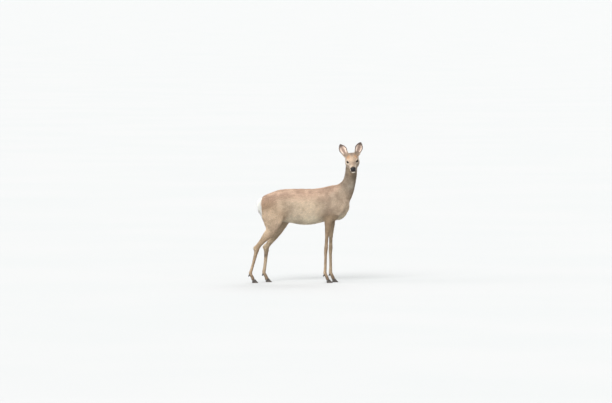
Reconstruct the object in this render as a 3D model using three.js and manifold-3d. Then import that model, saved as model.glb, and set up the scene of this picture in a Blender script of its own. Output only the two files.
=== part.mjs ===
// Roe deer doe, life size, standing still with her head turned to her right.
// Millimetres, +X towards the chest, +Y to her left, +Z up. The floor under her hooves is z = 0.
import * as THREE from 'three';
import { mergeVertices } from 'three/addons/utils/BufferGeometryUtils.js';
import Module from 'manifold-3d';

const wasm = await Module();
wasm.setup();

// ---------------------------------------------------------------- driving sizes
const GAP = 0.3; // clearance left between neighbouring pieces
const WITHERS = 718; // height of the shoulders
const CROUP = 677; // height of the hips
const BELLY = 418; // lowest point of the belly
const BRISKET = 452; // underside of the chest between the forelegs
const BUTTOCK = -352; // rearmost point of the rump
const BREAST = 318; // foremost point of the chest
const FETLOCK = 66; // height of the fetlock joints
const EYE_RADIUS = 12.5;
const EYE_HEIGHT = 884; // height of the eyes above the floor
const EYE_SPREAD = 30; // each eye's centre from the middle of the head
const EAR_LENGTH = 137; // from its root inside the skull
const EAR_WIDTH = 61;
const HEAD_PITCH = 18.5; // degrees that the muzzle points below level
const HEAD_ROLL = 6; // degrees that the crown leans to her right
const CLAW_LENGTH = 43;
const CLAW_WIDTH = 15.5;
const CLAW_HEIGHT = 27; // of the coronet in front

const COAT_BROWN = 0xa8937e;
const HEAD_GREY = 0xa08c79;
const LEG_BROWN = 0x8f7560;
const RUMP_WHITE = 0xf0ece2;
const NOSE_BLACK = 0x191615;
const EYE_DARK = 0x1d120c;
const HORN_DARK = 0x2b2623;

const vec = (x, y, z) => new THREE.Vector3(x, y, z);
const degrees = THREE.MathUtils.degToRad;

// ---------------------------------------------------------------- turning geometry into solids
/** Closes a three.js geometry into a solid, turning it the right way out if needed. */
function solid(geometry) {
  geometry.deleteAttribute('normal');
  geometry.deleteAttribute('uv');
  const merged = mergeVertices(geometry, 1e-3);
  const at = merged.attributes.position;
  const index = Uint32Array.from(merged.index.array);
  const corner = (i) => vec(at.getX(i), at.getY(i), at.getZ(i));
  let volume = 0;
  for (let i = 0; i < index.length; i += 3) {
    volume += corner(index[i]).dot(corner(index[i + 1]).cross(corner(index[i + 2])));
  }
  if (volume < 0) {
    for (let i = 0; i < index.length; i += 3) [index[i], index[i + 1]] = [index[i + 1], index[i]];
  }
  const vertProperties = Float32Array.from(at.array);
  return new wasm.Manifold(new wasm.Mesh({ numProp: 3, vertProperties, triVerts: index }));
}

/** The smooth value of each number in a table of rows, at a share of the way along them. */
function between(rows, share) {
  const at = share * (rows.length - 1);
  const i = Math.min(Math.floor(at), rows.length - 2);
  const f = at - i;
  const row = (k) => rows[Math.max(0, Math.min(rows.length - 1, k))];
  return rows[0].map((_, c) => {
    const [a, b, d, e] = [row(i - 1)[c], row(i)[c], row(i + 1)[c], row(i + 2)[c]];
    const [in_, out] = [(d - a) / 2, (e - b) / 2];
    return b + f * (in_ + f * (3 * (d - b) - 2 * in_ - out + f * (2 * (b - d) + in_ + out)));
  });
}

/**
 * A closed body of rings, from a sphere's grid: place(angle, share) gives each point of the rings, and a
 * dome of the stated length closes each end. reach(share) is the unit vector that the domes bulge along.
 * Each swelling is [x, y, z, radius, height] and pushes the skin near that point out, or in where its
 * height is negative.
 */
function ringed(around, along, domes, place, middle, reach, swellings = []) {
  const cap = 2;
  const shape = new THREE.SphereGeometry(1, around, along + 2 * cap);
  const { position, uv } = shape.attributes;
  for (let i = 0; i < position.count; i++) {
    const ring = Math.round((1 - uv.getY(i)) * (along + 2 * cap));
    const angle = uv.getX(i) * 2 * Math.PI;
    const share = Math.max(0, Math.min(1, (ring - cap) / along));
    const over = Math.max(cap - ring, ring - cap - along, 0) / cap;
    const end = ring < cap ? 0 : 1;
    const centre = middle(share);
    const point = place(angle, share).sub(centre).multiplyScalar(Math.cos(over * Math.PI / 2)).add(centre);
    const bulge = (end * 2 - 1) * domes[end] * Math.sin(over * Math.PI / 2);
    if (over > 0) point.addScaledVector(reach(share), bulge);
    const out = point.clone().sub(centre).normalize();
    const swell = swellings.map(([x, y, z, radius, height]) => (
      height * Math.exp(-(point.distanceToSquared(vec(x, y, z)) / radius ** 2))));
    point.addScaledVector(out, swell.reduce((all, one) => all + one, 0));
    position.setXYZ(i, point.x, point.y, point.z);
  }
  return solid(shape);
}

/** A body of upright ribs along +X: each is [x, top, widest, bottom, half width, pinch of its upper side]. */
function ribbed(ribs, around, along, domes, swellings) {
  const place = (angle, share) => {
    const [x, top, widest, bottom, half, pinch] = between(ribs, share);
    const up = Math.sin(angle);
    const side = half * Math.cos(angle) * (1 - pinch * Math.max(up, 0) ** 1.5);
    return vec(x, side, widest + up * (up > 0 ? top - widest : widest - bottom));
  };
  const middle = (share) => {
    const [x, , widest] = between(ribs, share);
    return vec(x, 0, widest);
  };
  return ringed(around, along, domes, place, middle, () => vec(1, 0, 0), swellings);
}

/**
 * A limb or neck along a bent line. Each row is [x, y, z, fore, aft, side, turn]: the centre, how far it
 * reaches forwards, backwards and to each side, and how many degrees forwards is turned to her right.
 */
function limb(rows, around, along, domes) {
  const centre = (share) => vec(...between(rows, share));
  const heading = (share) => {
    const [low, high] = [Math.max(0, share - 0.01), Math.min(1, share + 0.01)];
    return centre(high).sub(centre(low)).normalize();
  };
  const place = (angle, share) => {
    const [, , , fore, aft, side, turn] = between(rows, share);
    const tangent = heading(share);
    const ahead = vec(Math.cos(degrees(turn)), -Math.sin(degrees(turn)), 0);
    ahead.addScaledVector(tangent, -ahead.dot(tangent)).normalize();
    const across = tangent.clone().cross(ahead);
    const c = Math.cos(angle);
    return centre(share)
      .addScaledVector(ahead, c * (c > 0 ? fore : aft))
      .addScaledVector(across, side * Math.sin(angle));
  };
  return ringed(around, along, domes, place, centre, heading);
}

/** A ball stretched to three half sizes, turned and put in place. */
function mass(centre, sizes, turn = [0, 0, 0], around = 12) {
  const ball = new THREE.SphereGeometry(1, around, Math.round(around * 0.6));
  ball.scale(...sizes);
  ball.applyMatrix4(new THREE.Matrix4().makeRotationFromEuler(new THREE.Euler(...turn.map(degrees))));
  ball.translate(...centre);
  return solid(ball);
}

/** A box cutter from its two corners, put in place by a matrix. */
function block(low, high, frame = new THREE.Matrix4(), grown = 0) {
  const size = high.map((v, k) => v - low[k] + 2 * grown);
  const box = new THREE.BoxGeometry(...size);
  box.translate(...high.map((v, k) => (v + low[k]) / 2));
  box.applyMatrix4(frame);
  return solid(box);
}

/** Parts a body with a box: gives what is in the box, and the rest, with the gap between them. */
function parted(body, low, high, frame) {
  return [body.intersect(block(low, high, frame)), body.subtract(block(low, high, frame, GAP))];
}

/** Each row given once for each side of the body, its second number being how far it is from the middle. */
const bothSides = (rows) => rows.flatMap(([x, y, ...rest]) => [[x, y, ...rest], [x, -y, ...rest]]);

const joined = (bodies) => bodies.reduce((all, body) => all.add(body));

// ---------------------------------------------------------------- trunk
function trunkBody() {
  return ribbed([
    [BUTTOCK + 16, 611, 562, 500, 58, 0.1],
    [BUTTOCK + 48, 634, 564, 472, 84, 0.15],
    [-252, 655, 565, 455, 94, 0.25],
    [-190, CROUP, 560, 440, 98, 0.3],
    [-115, 683, 555, 432, 103, 0.25],
    [-35, 684, 545, BELLY, 112, 0.15],
    [45, 683, 540, 420, 111, 0.15],
    [120, 693, 540, 436, 97, 0.3],
    [180, 709, 545, 448, 83, 0.45],
    [235, WITHERS, 560, BRISKET, 71, 0.5],
    [276, 694, 570, 468, 61, 0.4],
    [BREAST - 14, 652, 584, 514, 47, 0.2],
  ], 18, 16, [18, 14], bothSides([
    [-222, 84, 640, 46, 6],
    [-150, 104, 560, 50, -8],
  ]));
}

/** The shoulder blade and upper arm of one side, lying on the ribs. */
function shoulder(side, ahead) {
  return limb([
    [226, side * 38, 668, 34, 30, 20, 0],
    [240, side * 47, 616, 46, 46, 27, 0],
    [240 + ahead * 0.5, side * 54, 562, 52, 60, 31, 0],
    [210 + ahead * 0.7, side * 59, 514, 50, 58, 31, 0],
    [182 + ahead * 0.9, side * 60, 474, 44, 42, 27, 0],
  ], 10, 5, [18, 10]);
}

/** The short tail, lying in the hair of the rump. */
function tailBody() {
  return limb([
    [BUTTOCK + 14, 0, 598, 10, 8, 12, 0],
    [BUTTOCK + 8, 0, 582, 10, 8, 11, 0],
    [BUTTOCK + 6, 0, 558, 10, 8, 9, 0],
  ], 8, 3, [8, 12]);
}

// ---------------------------------------------------------------- legs
/** Where the joints of each leg are, in side view, and how far each is from the middle of the body. */
const legAt = (fore, side, top, knee, fetlock, toe) => ({ fore, side, top, knee, fetlock, toe });
const LEGS = {
  front_right: legAt(true, -1, [163, 58, 470], [144, 52, 250], [140, 50], 162),
  front_left: legAt(true, 1, [187, 58, 470], [178, 52, 250], [181, 50], 203),
  hind_right: legAt(false, -1, [-214, 80, 432], [-352, 60, 246], [-402, 56], -378),
  hind_left: legAt(false, 1, [-160, 80, 434], [-283, 58, 248], [-304, 55], -280),
};

/** A row of a limb at a share of the way between two joints, set off ahead of that line. */
function onBone(from, to, share, ahead, sizes) {
  const p = from.clone().lerp(to, share);
  return [p.x + ahead, p.y, p.z, ...sizes, 0];
}

function jointsOf({ side, top, knee, fetlock, toe }) {
  return {
    top: vec(top[0], side * top[1], top[2]),
    knee: vec(knee[0], side * knee[1], knee[2]),
    fetlock: vec(fetlock[0], side * fetlock[1], FETLOCK),
    toe: vec(toe, side * fetlock[1], 18),
  };
}

function foreleg(leg) {
  const { top, knee, fetlock, toe } = jointsOf(leg);
  return limb([
    onBone(top, knee, -0.14, 4, [40, 44, 24]),
    onBone(top, knee, 0.04, 0, [34, 36, 24]),
    onBone(top, knee, 0.26, 0, [27, 24, 20]),
    onBone(top, knee, 0.52, 0, [19, 18, 16]),
    onBone(top, knee, 0.76, 0, [13.5, 14, 13.5]),
    onBone(top, knee, 0.93, 1, [16, 15.5, 15.5]),
    onBone(knee, fetlock, 0.04, 1, [15.5, 16.5, 15.5]),
    onBone(knee, fetlock, 0.2, 0, [11.5, 13.5, 12]),
    onBone(knee, fetlock, 0.5, 0, [11, 12.5, 10.5]),
    onBone(knee, fetlock, 0.82, 0, [11, 13, 11]),
    onBone(fetlock, toe, -0.06, 0, [13, 16, 15]),
    onBone(fetlock, toe, 0.2, 0, [12.5, 14, 15]),
    onBone(fetlock, toe, 0.55, 1, [12, 13.5, 15]),
    onBone(fetlock, toe, 0.95, -1, [13, 15, 15.5]),
  ], 8, 18, [6, 6]);
}

/** Haunch and thigh, from the hip down to the stifle. */
function thigh({ side, top }) {
  const ahead = top[0] + 214; // of the leg that stands further back
  const middle = -240 + ahead / 2;
  return limb([
    [-236, side * 40, 622, 56, 62, 28, 0],
    [-230, side * 56, 582, 80, 96, 40, 0],
    [middle + 5, side * 71, 528, 88, 100, 41, 0],
    [middle + 10, side * 80, 478, 74 + ahead / 2, 90, 35, 0],
    [middle + 6, side * 83, 436, 54 + ahead / 2, 84, 29, 0],
    [middle - 4, side * 80, 396, 28 + ahead / 2, 60, 22, 0],
  ], 12, 7, [20, 20]);
}

function hindleg(leg) {
  const { top, knee, fetlock, toe } = jointsOf(leg);
  return limb([
    onBone(top, knee, -0.12, 0, [34, 56, 26]),
    onBone(top, knee, 0.08, 0, [35, 60, 26]),
    onBone(top, knee, 0.34, 0, [33, 43, 22]),
    onBone(top, knee, 0.6, -2, [27, 33, 17.5]),
    onBone(top, knee, 0.8, -7, [21, 26, 14]),
    onBone(top, knee, 0.97, -8, [22, 24, 16]),
    onBone(knee, fetlock, 0.08, -3, [19, 20, 16.5]),
    onBone(knee, fetlock, 0.22, -1, [14, 17, 13.5]),
    onBone(knee, fetlock, 0.5, 0, [12, 14, 11]),
    onBone(knee, fetlock, 0.82, 0, [11.5, 13.5, 11]),
    onBone(fetlock, toe, -0.06, 0, [13, 16, 15]),
    onBone(fetlock, toe, 0.2, 0, [12.5, 14, 15]),
    onBone(fetlock, toe, 0.55, 1, [12, 13.5, 15]),
    onBone(fetlock, toe, 0.95, -1, [13, 15, 15.5]),
  ], 8, 19, [6, 6]).add(hockPoint(knee));
}

/** The point of the hock, where the hamstring ends. */
function hockPoint(knee) {
  return mass([knee.x - 22, knee.y, knee.z + 12], [14, 9.5, 22], [0, 36, 0], 8);
}

// ---------------------------------------------------------------- hooves
/** One claw of a hoof: flat sole, sloping front wall and a top that is cut along the coronet. */
function claw(toe, side, along, inner) {
  const half = CLAW_WIDTH / 2;
  const wall = new THREE.Shape();
  wall.moveTo(-CLAW_LENGTH * 0.4, 0);
  wall.lineTo(CLAW_LENGTH * 0.54, 0);
  wall.quadraticCurveTo(CLAW_LENGTH * 0.6, 0.6, CLAW_LENGTH * 0.57, 3.5);
  wall.quadraticCurveTo(CLAW_LENGTH * 0.3, 13, CLAW_LENGTH * 0.1, CLAW_HEIGHT);
  wall.quadraticCurveTo(-CLAW_LENGTH * 0.16, CLAW_HEIGHT * 0.86, -CLAW_LENGTH * 0.36, 15);
  wall.quadraticCurveTo(-CLAW_LENGTH * 0.54, CLAW_HEIGHT * 0.3, -CLAW_LENGTH * 0.4, 0);
  const slices = { depth: CLAW_WIDTH, steps: 3, curveSegments: 2, bevelEnabled: false };
  const plate = new THREE.ExtrudeGeometry(wall, slices);
  const at = plate.attributes.position;
  for (let i = 0; i < at.count; i++) {
    const [x, z, across] = [at.getX(i), at.getY(i), at.getZ(i) / half - 1];
    // The outer wall is round, and the claws close in towards the toe.
    const ahead = THREE.MathUtils.clamp(x / (CLAW_LENGTH * 0.58), 0, 1);
    const outer = inner * across < 0 ? 1 : 0;
    const rise = z / CLAW_HEIGHT;
    const width = half * (1 - 0.62 * ahead ** 1.8 * (0.3 + 0.7 * outer)) * (1 - 0.3 * rise * outer);
    const back = outer * Math.abs(across) ** 3 * CLAW_LENGTH * 0.1 * Math.sign(x);
    at.setXYZ(i, x - back, across * width + inner * 2.6 * ahead ** 2, z);
  }
  plate.translate(toe + 6, side + along, 0);
  return solid(plate);
}

/** A dewclaw, behind and beside the fetlock, grown by a clearance where it is its own socket. */
function dewclaw(fetlock, inner, grown) {
  const sizes = [5.5, 5, 10].map((size) => size + grown);
  return mass([fetlock.x - 11, fetlock.y + inner * 9, fetlock.z - 13], sizes, [0, 30, 0], 6);
}

// ---------------------------------------------------------------- neck and head
const HEAD_PLACE = (() => {
  const [c, s] = [Math.cos(degrees(HEAD_PITCH)), Math.sin(degrees(HEAD_PITCH))];
  return new THREE.Matrix4().makeTranslation(335, -130, EYE_HEIGHT)
    .multiply(new THREE.Matrix4().makeRotationY(degrees(-HEAD_ROLL)))
    .multiply(new THREE.Matrix4().makeBasis(vec(0, -c, -s), vec(1, 0, 0), vec(0, -s, c)));
})();

function neckBody() {
  return limb([
    [206, 0, 592, 90, 96, 74, 0],
    [250, 0, 642, 92, 76, 66, 0],
    [290, -2, 692, 68, 54, 54, 8],
    [314, -9, 738, 50, 45, 47, 26],
    [325, -20, 784, 47, 45, 44, 50],
    [329, -33, 828, 48, 45, 43, 74],
    [331, -44, 868, 52, 42, 43, 88],
    [332, -56, 898, 42, 36, 39, 90],
  ], 14, 9, [20, 12]);
}

/** The head along its own +X, with the eyes' level as zero. */
function headBody() {
  return ribbed([
    [-90, 28, -2, -42, 36, 0],
    [-68, 45, -4, -62, 46, 0.05],
    [-42, 49, -4, -74, 50, 0.15],
    [-14, 42, -5, -73, 48.5, 0.3],
    [8, 31, -9, -69, 38.5, 0.35],
    [26, 21, -14, -63, 31, 0.35],
    [46, 14, -18, -61, 28, 0.35],
    [66, 8, -22, -59, 25.5, 0.3],
    [84, 3, -26, -57, 23.5, 0.3],
    [100, -3, -29, -53, 20, 0.2],
  ], 18, 16, [16, 10], bothSides([
    [-6, 40, 6, 20, 4.5],
    [-10, 28, 32, 16, 4],
    [-36, 42, -34, 26, 5],
    [28, 30, -8, 15, -3],
  ])).add(joined([-1, 1].map((side) => mass([94, side * 9.5, -17.5], [17, 12.5, 10], [0, 14, -side * 10]))));
}

/** Where an ear grows: its own frame in the head, with x across it, y the way it faces and z up to its tip. */
function earFrame(side) {
  const tip = vec(-0.8, side * 0.33, 0.5).normalize();
  const facing = vec(0.5, side * 0.26, 0.8);
  facing.addScaledVector(tip, -facing.dot(tip)).normalize();
  return new THREE.Matrix4().makeBasis(facing.clone().cross(tip), facing, tip).setPosition(-38, side * 31, 19);
}

/** One ear, a cupped leaf that opens forwards. */
function earBody(side) {
  const wall = 3.4;
  // Shares of the ear's length, half widths, depths of the cup and how far the leaf leans forwards.
  const leaf = [
    [0, 15, 12, 0],
    [0.14, 17, 17, 0],
    [0.28, 20, 21, 1],
    [0.44, 26.5, 20, 2],
    [0.62, EAR_WIDTH / 2, 16, 2],
    [0.79, 25, 11, 2],
    [0.92, 16, 6, 1],
    [1, 8.5, 3, -1],
  ];
  const middle = (share) => {
    const [up, , , lean] = between(leaf, share);
    return vec(0, lean, up * (EAR_LENGTH - 5));
  };
  const place = (angle, share) => {
    const [, half, cup] = between(leaf, share);
    const u = Math.cos(angle);
    const back = Math.sin(angle) > 0 ? wall / 2 : -wall / 2;
    const depth = cup * (1 - u * u) + back * Math.sqrt(Math.max(0, 1 - u ** 6));
    return middle(share).add(vec(half * u, -depth, 0));
  };
  return ringed(16, 7, [4, 4], place, middle, () => vec(0, 0, 1)).transform(earFrame(side).elements);
}

function eyeBall(side, radius) {
  return mass([4, side * EYE_SPREAD, 2], [radius, radius, radius], [90, 0, 0], 12);
}

// ---------------------------------------------------------------- putting the animal together
const deer = new THREE.Group();
deer.name = 'roe_deer';

function addNode(name, body, colour, roughness) {
  const mesh = body.getMesh();
  const geometry = new THREE.BufferGeometry();
  geometry.setAttribute('position', new THREE.BufferAttribute(Float32Array.from(mesh.vertProperties), 3));
  geometry.setIndex(new THREE.BufferAttribute(Uint32Array.from(mesh.triVerts), 1));
  const material = new THREE.MeshStandardMaterial({ color: colour, roughness, metalness: 0 });
  const node = new THREE.Mesh(geometry, material);
  node.name = name;
  deer.add(node);
}

/** A box cutter's frame in the head, turned about the head's axes and moved to a point of it. */
const inHead = (x, y, z, turn = [0, 0, 0]) => HEAD_PLACE.clone().multiply(
  new THREE.Matrix4().makeRotationFromEuler(new THREE.Euler(...turn.map(degrees))).setPosition(x, y, z));

/** Cuts the head into skull, jaw, nose, ears and eyes, and adds them. Gives the rest of the body. */
function dressHead(body) {
  const put = (shape) => shape.transform(HEAD_PLACE.elements);
  const sides = [['right', -1], ['left', 1]];
  let rest = body;
  for (const [name, side] of sides) {
    let leaf;
    const root = HEAD_PLACE.clone().multiply(earFrame(side));
    [leaf, rest] = parted(rest, [-60, -60, 47], [60, 60, 200], root);
    addNode(`ear_${name}`, leaf, COAT_BROWN, 0.9);
  }
  let head;
  [head, rest] = parted(rest, [0, -100, -110], [300, 100, 200], inHead(-74, 0, -24, [0, -24, 0]));
  for (const [name, side] of sides) {
    head = head.subtract(put(eyeBall(side, EYE_RADIUS + GAP)));
    addNode(`eye_${name}`, put(eyeBall(side, EYE_RADIUS)), EYE_DARK, 0.08);
  }
  const [jaw, upper] = parted(head, [-220, -100, -200], [80, 100, 0], inHead(60, 0, -42, [0, 5, 0]));
  const [nose, skull] = parted(upper, [0, -40, -15], [60, 40, 80], inHead(97, 0, -20, [0, 22, 0]));
  const nostrils = [-1, 1].map((side) => mass([112, side * 13, -14], [9, 3, 4.5], [0, -20, side * 30], 10));
  addNode('nose', nose.subtract(put(joined(nostrils))), NOSE_BLACK, 0.35);
  addNode('lower_jaw', jaw, HEAD_GREY, 0.9);
  addNode('head', skull, HEAD_GREY, 0.9);
  return rest;
}

/** The part of space that one leg keeps: below and outside a steep plane through the groin or armpit. */
function legSpace({ fore, side, top }, grown) {
  const [rear, front] = fore ? [top[0] - 46, 420] : [-500, top[0] + 76];
  const [inner, low, steep] = fore ? [42, 450, 52] : [46, 452, 60];
  const plane = new THREE.Matrix4().makeRotationX(degrees(side * steep)).setPosition(0, side * inner, low);
  const column = side > 0 ? block([rear, 4, -50], [front, 300, 720], undefined, grown)
    : block([rear, -300, -50], [front, -4, 720], undefined, grown);
  return column.intersect(block([-900, -900, -900], [900, 900, 0], plane, grown));
}

/** Cuts one leg free and into its lengths, and adds them with their hooves. Gives the rest of the body. */
function dressLeg(body, name, leg) {
  const { knee, fetlock, toe } = jointsOf(leg);
  const ankle = FETLOCK + 26;
  const coronet = new THREE.Matrix4().makeRotationY(degrees(-24)).setPosition(toe.x + 4, 0, 23);
  const below = (z) => [[-900, -900, -100], [900, 900, z]];
  const place = (inner) => ((inner > 0) === (leg.side > 0) ? 'outer' : 'inner');
  let whole = body.intersect(legSpace(leg, 0));
  for (const inner of [-1, 1]) {
    addNode(`dewclaw_${name}_${place(inner)}`, dewclaw(fetlock, inner, 0), HORN_DARK, 0.5);
    whole = whole.subtract(dewclaw(fetlock, inner, GAP));
    const horn = claw(toe.x, toe.y, inner * (CLAW_WIDTH / 2 + 0.5), inner);
    const shape = horn.subtract(block([-90, -300, -GAP], [90, 300, 80], coronet));
    addNode(`hoof_${name}_${place(inner)}`, shape, HORN_DARK, 0.45);
  }
  const [shank, upper] = parted(whole, ...below(knee.z - 4));
  const [foot, cannon] = parted(shank, ...below(ankle));
  const pastern = foot.subtract(block([-90, -300, -80], [90, 300, 0], coronet));
  addNode(leg.fore ? `forearm_${name}` : `thigh_${name}`, upper, LEG_BROWN, 0.9);
  addNode(`cannon_${name}`, cannon, LEG_BROWN, 0.9);
  addNode(`pastern_${name}`, pastern, LEG_BROWN, 0.9);
  return body.subtract(legSpace(leg, GAP));
}

const legs = Object.entries(LEGS);
let flesh = joined([
  trunkBody(),
  tailBody(),
  neckBody(),
  ...legs.map(([, leg]) => (leg.fore ? shoulder(leg.side, leg.top[0] - 166) : thigh(leg))),
  ...legs.map(([, leg]) => (leg.fore ? foreleg(leg) : hindleg(leg))),
  ...[headBody(), earBody(-1), earBody(1)].map((shape) => shape.transform(HEAD_PLACE.elements)),
]);
for (const [name, leg] of legs) flesh = dressLeg(flesh, name, leg);
flesh = dressHead(flesh);
const neckBase = new THREE.Matrix4().makeRotationY(degrees(34)).setPosition(288, 0, 684);
const [neck, body] = parted(flesh, [-160, -200, 0], [160, 200, 400], neckBase);
const [tail, trunk] = parted(body, [BUTTOCK - 40, -16, 530], [BUTTOCK + 3, 16, 620]);
addNode('neck', neck, COAT_BROWN, 0.95);
addNode('tail', tail, RUMP_WHITE, 0.95);
addNode('trunk', trunk, COAT_BROWN, 0.95);

// The origin is on the floor, under the middle of the animal.
const middle = new THREE.Box3().setFromObject(deer).getCenter(vec(0, 0, 0));
deer.position.set(-middle.x, -middle.y, 0);

export default deer;
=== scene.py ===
"""A standing roe deer doe, her head turned to look to her right.

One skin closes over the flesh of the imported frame. A coat of small solid tufts lies on it. The eyes, lashes,
whiskers, hooves and dewclaws are pieces of their own. MM turns lengths in mm into metres.
"""

import logging
import math
from dataclasses import astuple, dataclass
from enum import Enum

import bmesh
import bpy
import numpy as np
from mathutils import Matrix, Vector
from mathutils.bvhtree import BVHTree


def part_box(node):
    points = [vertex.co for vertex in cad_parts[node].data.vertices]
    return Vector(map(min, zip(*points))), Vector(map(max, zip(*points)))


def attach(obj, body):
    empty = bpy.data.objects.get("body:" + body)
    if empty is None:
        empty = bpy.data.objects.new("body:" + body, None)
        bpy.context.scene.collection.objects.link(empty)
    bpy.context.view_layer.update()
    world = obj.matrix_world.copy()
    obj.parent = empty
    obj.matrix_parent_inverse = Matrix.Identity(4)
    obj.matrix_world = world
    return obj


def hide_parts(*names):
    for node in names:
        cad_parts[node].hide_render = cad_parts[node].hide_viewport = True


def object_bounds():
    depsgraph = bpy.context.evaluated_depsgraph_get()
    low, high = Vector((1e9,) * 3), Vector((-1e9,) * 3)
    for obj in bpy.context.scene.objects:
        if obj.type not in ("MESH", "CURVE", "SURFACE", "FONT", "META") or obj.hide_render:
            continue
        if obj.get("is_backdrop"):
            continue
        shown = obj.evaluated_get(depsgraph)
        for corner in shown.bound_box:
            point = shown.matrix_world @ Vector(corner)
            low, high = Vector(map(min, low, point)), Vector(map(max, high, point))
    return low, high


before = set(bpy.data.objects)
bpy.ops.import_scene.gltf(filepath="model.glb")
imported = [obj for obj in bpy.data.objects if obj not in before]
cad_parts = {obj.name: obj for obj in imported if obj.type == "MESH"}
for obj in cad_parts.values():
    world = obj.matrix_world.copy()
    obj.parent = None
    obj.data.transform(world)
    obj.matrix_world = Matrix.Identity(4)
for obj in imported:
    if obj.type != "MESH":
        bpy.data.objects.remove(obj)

CAD_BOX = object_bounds()
MM = 0.001
HIND_LEGS = ("hind_right", "hind_left")
LEGS = ("front_right", "front_left", *HIND_LEGS)
log = logging.getLogger("roe_deer")


# ---------------------------------------------------------------- numbers over many points

def rgb(red: float, green: float, blue: float) -> np.ndarray:
    """Turn a screen colour of 0 to 255 into linear light."""
    share = np.array([red, green, blue]) / 255
    return np.where(share <= 0.04045, share / 12.92, ((share + 0.055) / 1.055) ** 2.4)


def ramp(values: np.ndarray, low: float, high: float) -> np.ndarray:
    """Rise smoothly from 0 where a value is low to 1 where it is high.

    Args:
        values: The values, one for each point.
        low: Where the rise starts; it may be above high, and then the ramp falls.
        high: Where the rise ends.

    Returns:
        A share between 0 and 1 for each point.
    """
    share = np.clip((values - low) / (high - low), 0, 1)
    return share * share * (3 - 2 * share)


def blob(points: np.ndarray, centre: tuple, radii: tuple) -> np.ndarray:
    """Give a soft ball of influence, 1 at its centre and about 0.02 two radii away."""
    return np.exp(-(((points - centre) / radii) ** 2).sum(1))


def blend(first: np.ndarray, second: np.ndarray, share: np.ndarray) -> np.ndarray:
    """Mix two colours, or rows of colours, by a share for each point."""
    return first + (second - first) * share[:, None]


def unit(rows: np.ndarray) -> np.ndarray:
    """Scale each row to length 1."""
    return rows / np.maximum(np.linalg.norm(rows, axis=1), 1e-9)[:, None]


def square(vector: np.ndarray, axis: np.ndarray) -> np.ndarray:
    """Take out of a vector what runs along an axis, and scale the rest to length 1."""
    rest = vector - axis * (vector @ axis)
    return rest / np.linalg.norm(rest)


def laid(rows: np.ndarray, normals: np.ndarray) -> np.ndarray:
    """Lay directions down along the surfaces that have these normals."""
    return unit(rows - normals * (rows * normals).sum(1)[:, None])


def mirrored(points: np.ndarray) -> np.ndarray:
    """Fold points of the head onto her left half, so that one feature serves both sides."""
    return points * [1, 0, 1] + np.abs(points) * [0, 1, 0]


def read(rows: bpy.types.bpy_prop_collection, key: str, width: int, kind: type = float) -> np.ndarray:
    """Read one property of all the rows of a mesh's list, a few numbers for each.

    Args:
        rows: A list of the mesh's, such as its vertices.
        key: The property's name.
        width: How many numbers it has.
        kind: Their type.

    Returns:
        One row of numbers for each.
    """
    values = np.empty(len(rows) * width, dtype=kind)
    rows.foreach_get(key, values)
    return values.reshape(-1, width)


# ---------------------------------------------------------------- meshes

@dataclass
class Surface:
    """The points, normals and edges of a mesh, as arrays that fields can move and smooth."""

    mesh: bpy.types.Mesh

    def __post_init__(self) -> None:
        """Read the arrays from the mesh."""
        self.points = read(self.mesh.vertices, "co", 3)
        self.edges = read(self.mesh.edges, "vertices", 2, np.int64)
        self.degree = np.maximum(np.bincount(self.edges.ravel(), minlength=len(self.points)), 1)
        self.normals = read(self.mesh.vertex_normals, "vector", 3)

    def write(self) -> None:
        """Put the moved points back in the mesh and bring the normals up to date."""
        self.mesh.vertices.foreach_set("co", self.points.ravel())
        self.mesh.update()
        self.normals = read(self.mesh.vertex_normals, "vector", 3)

    def spread(self, values: np.ndarray) -> np.ndarray:
        """Average each point's values over its neighbours.

        Args:
            values: A number or a row for each point.

        Returns:
            The averages.
        """
        first, second = self.edges.T
        columns = []
        for column in values.reshape(len(values), -1).T:
            total = np.bincount(first, weights=column[second], minlength=len(column))
            total += np.bincount(second, weights=column[first], minlength=len(column))
            columns.append(total / self.degree)
        return np.stack(columns, 1).reshape(values.shape)

    def soften(self, values: np.ndarray, rounds: int) -> np.ndarray:
        """Smooth values over the surface.

        Args:
            values: A number or a row for each point.
            rounds: How many times.

        Returns:
            The softer values.
        """
        for _ in range(rounds):
            values = 0.4 * values + 0.6 * self.spread(values)
        return values

    def relax(self, rounds: int, strength: np.ndarray) -> None:
        """Pull points to the middle of their neighbours, which takes out facets and shrinks tight bends.

        Args:
            rounds: How many times.
            strength: A share for each point, 0 where it stays.
        """
        for _ in range(rounds):
            self.points += (self.spread(self.points) - self.points) * (0.6 * strength)[:, None]

    def fair(self, rounds: int, strength: np.ndarray) -> None:
        """Smooth the shape without shrinking it.

        Args:
            rounds: How many pairs of a pull in and a push out are made.
            strength: A share for each point, 0 where it stays.
        """
        for _ in range(rounds):
            for pull in (0.55, -0.57):
                self.points += (self.spread(self.points) - self.points) * (pull * strength)[:, None]


def new_object(mesh: bpy.types.Mesh) -> bpy.types.Object:
    """Put a mesh in the scene as an object of the same name.

    Args:
        mesh: The mesh, which gives its name.

    Returns:
        The object.
    """
    piece = bpy.data.objects.new(mesh.name, mesh)
    bpy.context.scene.collection.objects.link(piece)
    return piece


def meshed(bm: bmesh.types.BMesh, name: str) -> bpy.types.Mesh:
    """Turn a bmesh into a mesh of that name, and free it.

    Args:
        bm: The bmesh.
        name: The mesh's name.

    Returns:
        The mesh.
    """
    mesh = bpy.data.meshes.new(name)
    bm.to_mesh(mesh)
    bm.free()
    return mesh


def merged_copy(node: str) -> bmesh.types.BMesh:
    """Copy a node's loose triangles and join them at their corners.

    Args:
        node: The node's name.

    Returns:
        Its closed solid.
    """
    bm = bmesh.new()
    bm.from_mesh(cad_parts[node].data)
    bmesh.ops.remove_doubles(bm, verts=bm.verts, dist=0.02 * MM)
    bm.normal_update()
    return bm


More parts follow.
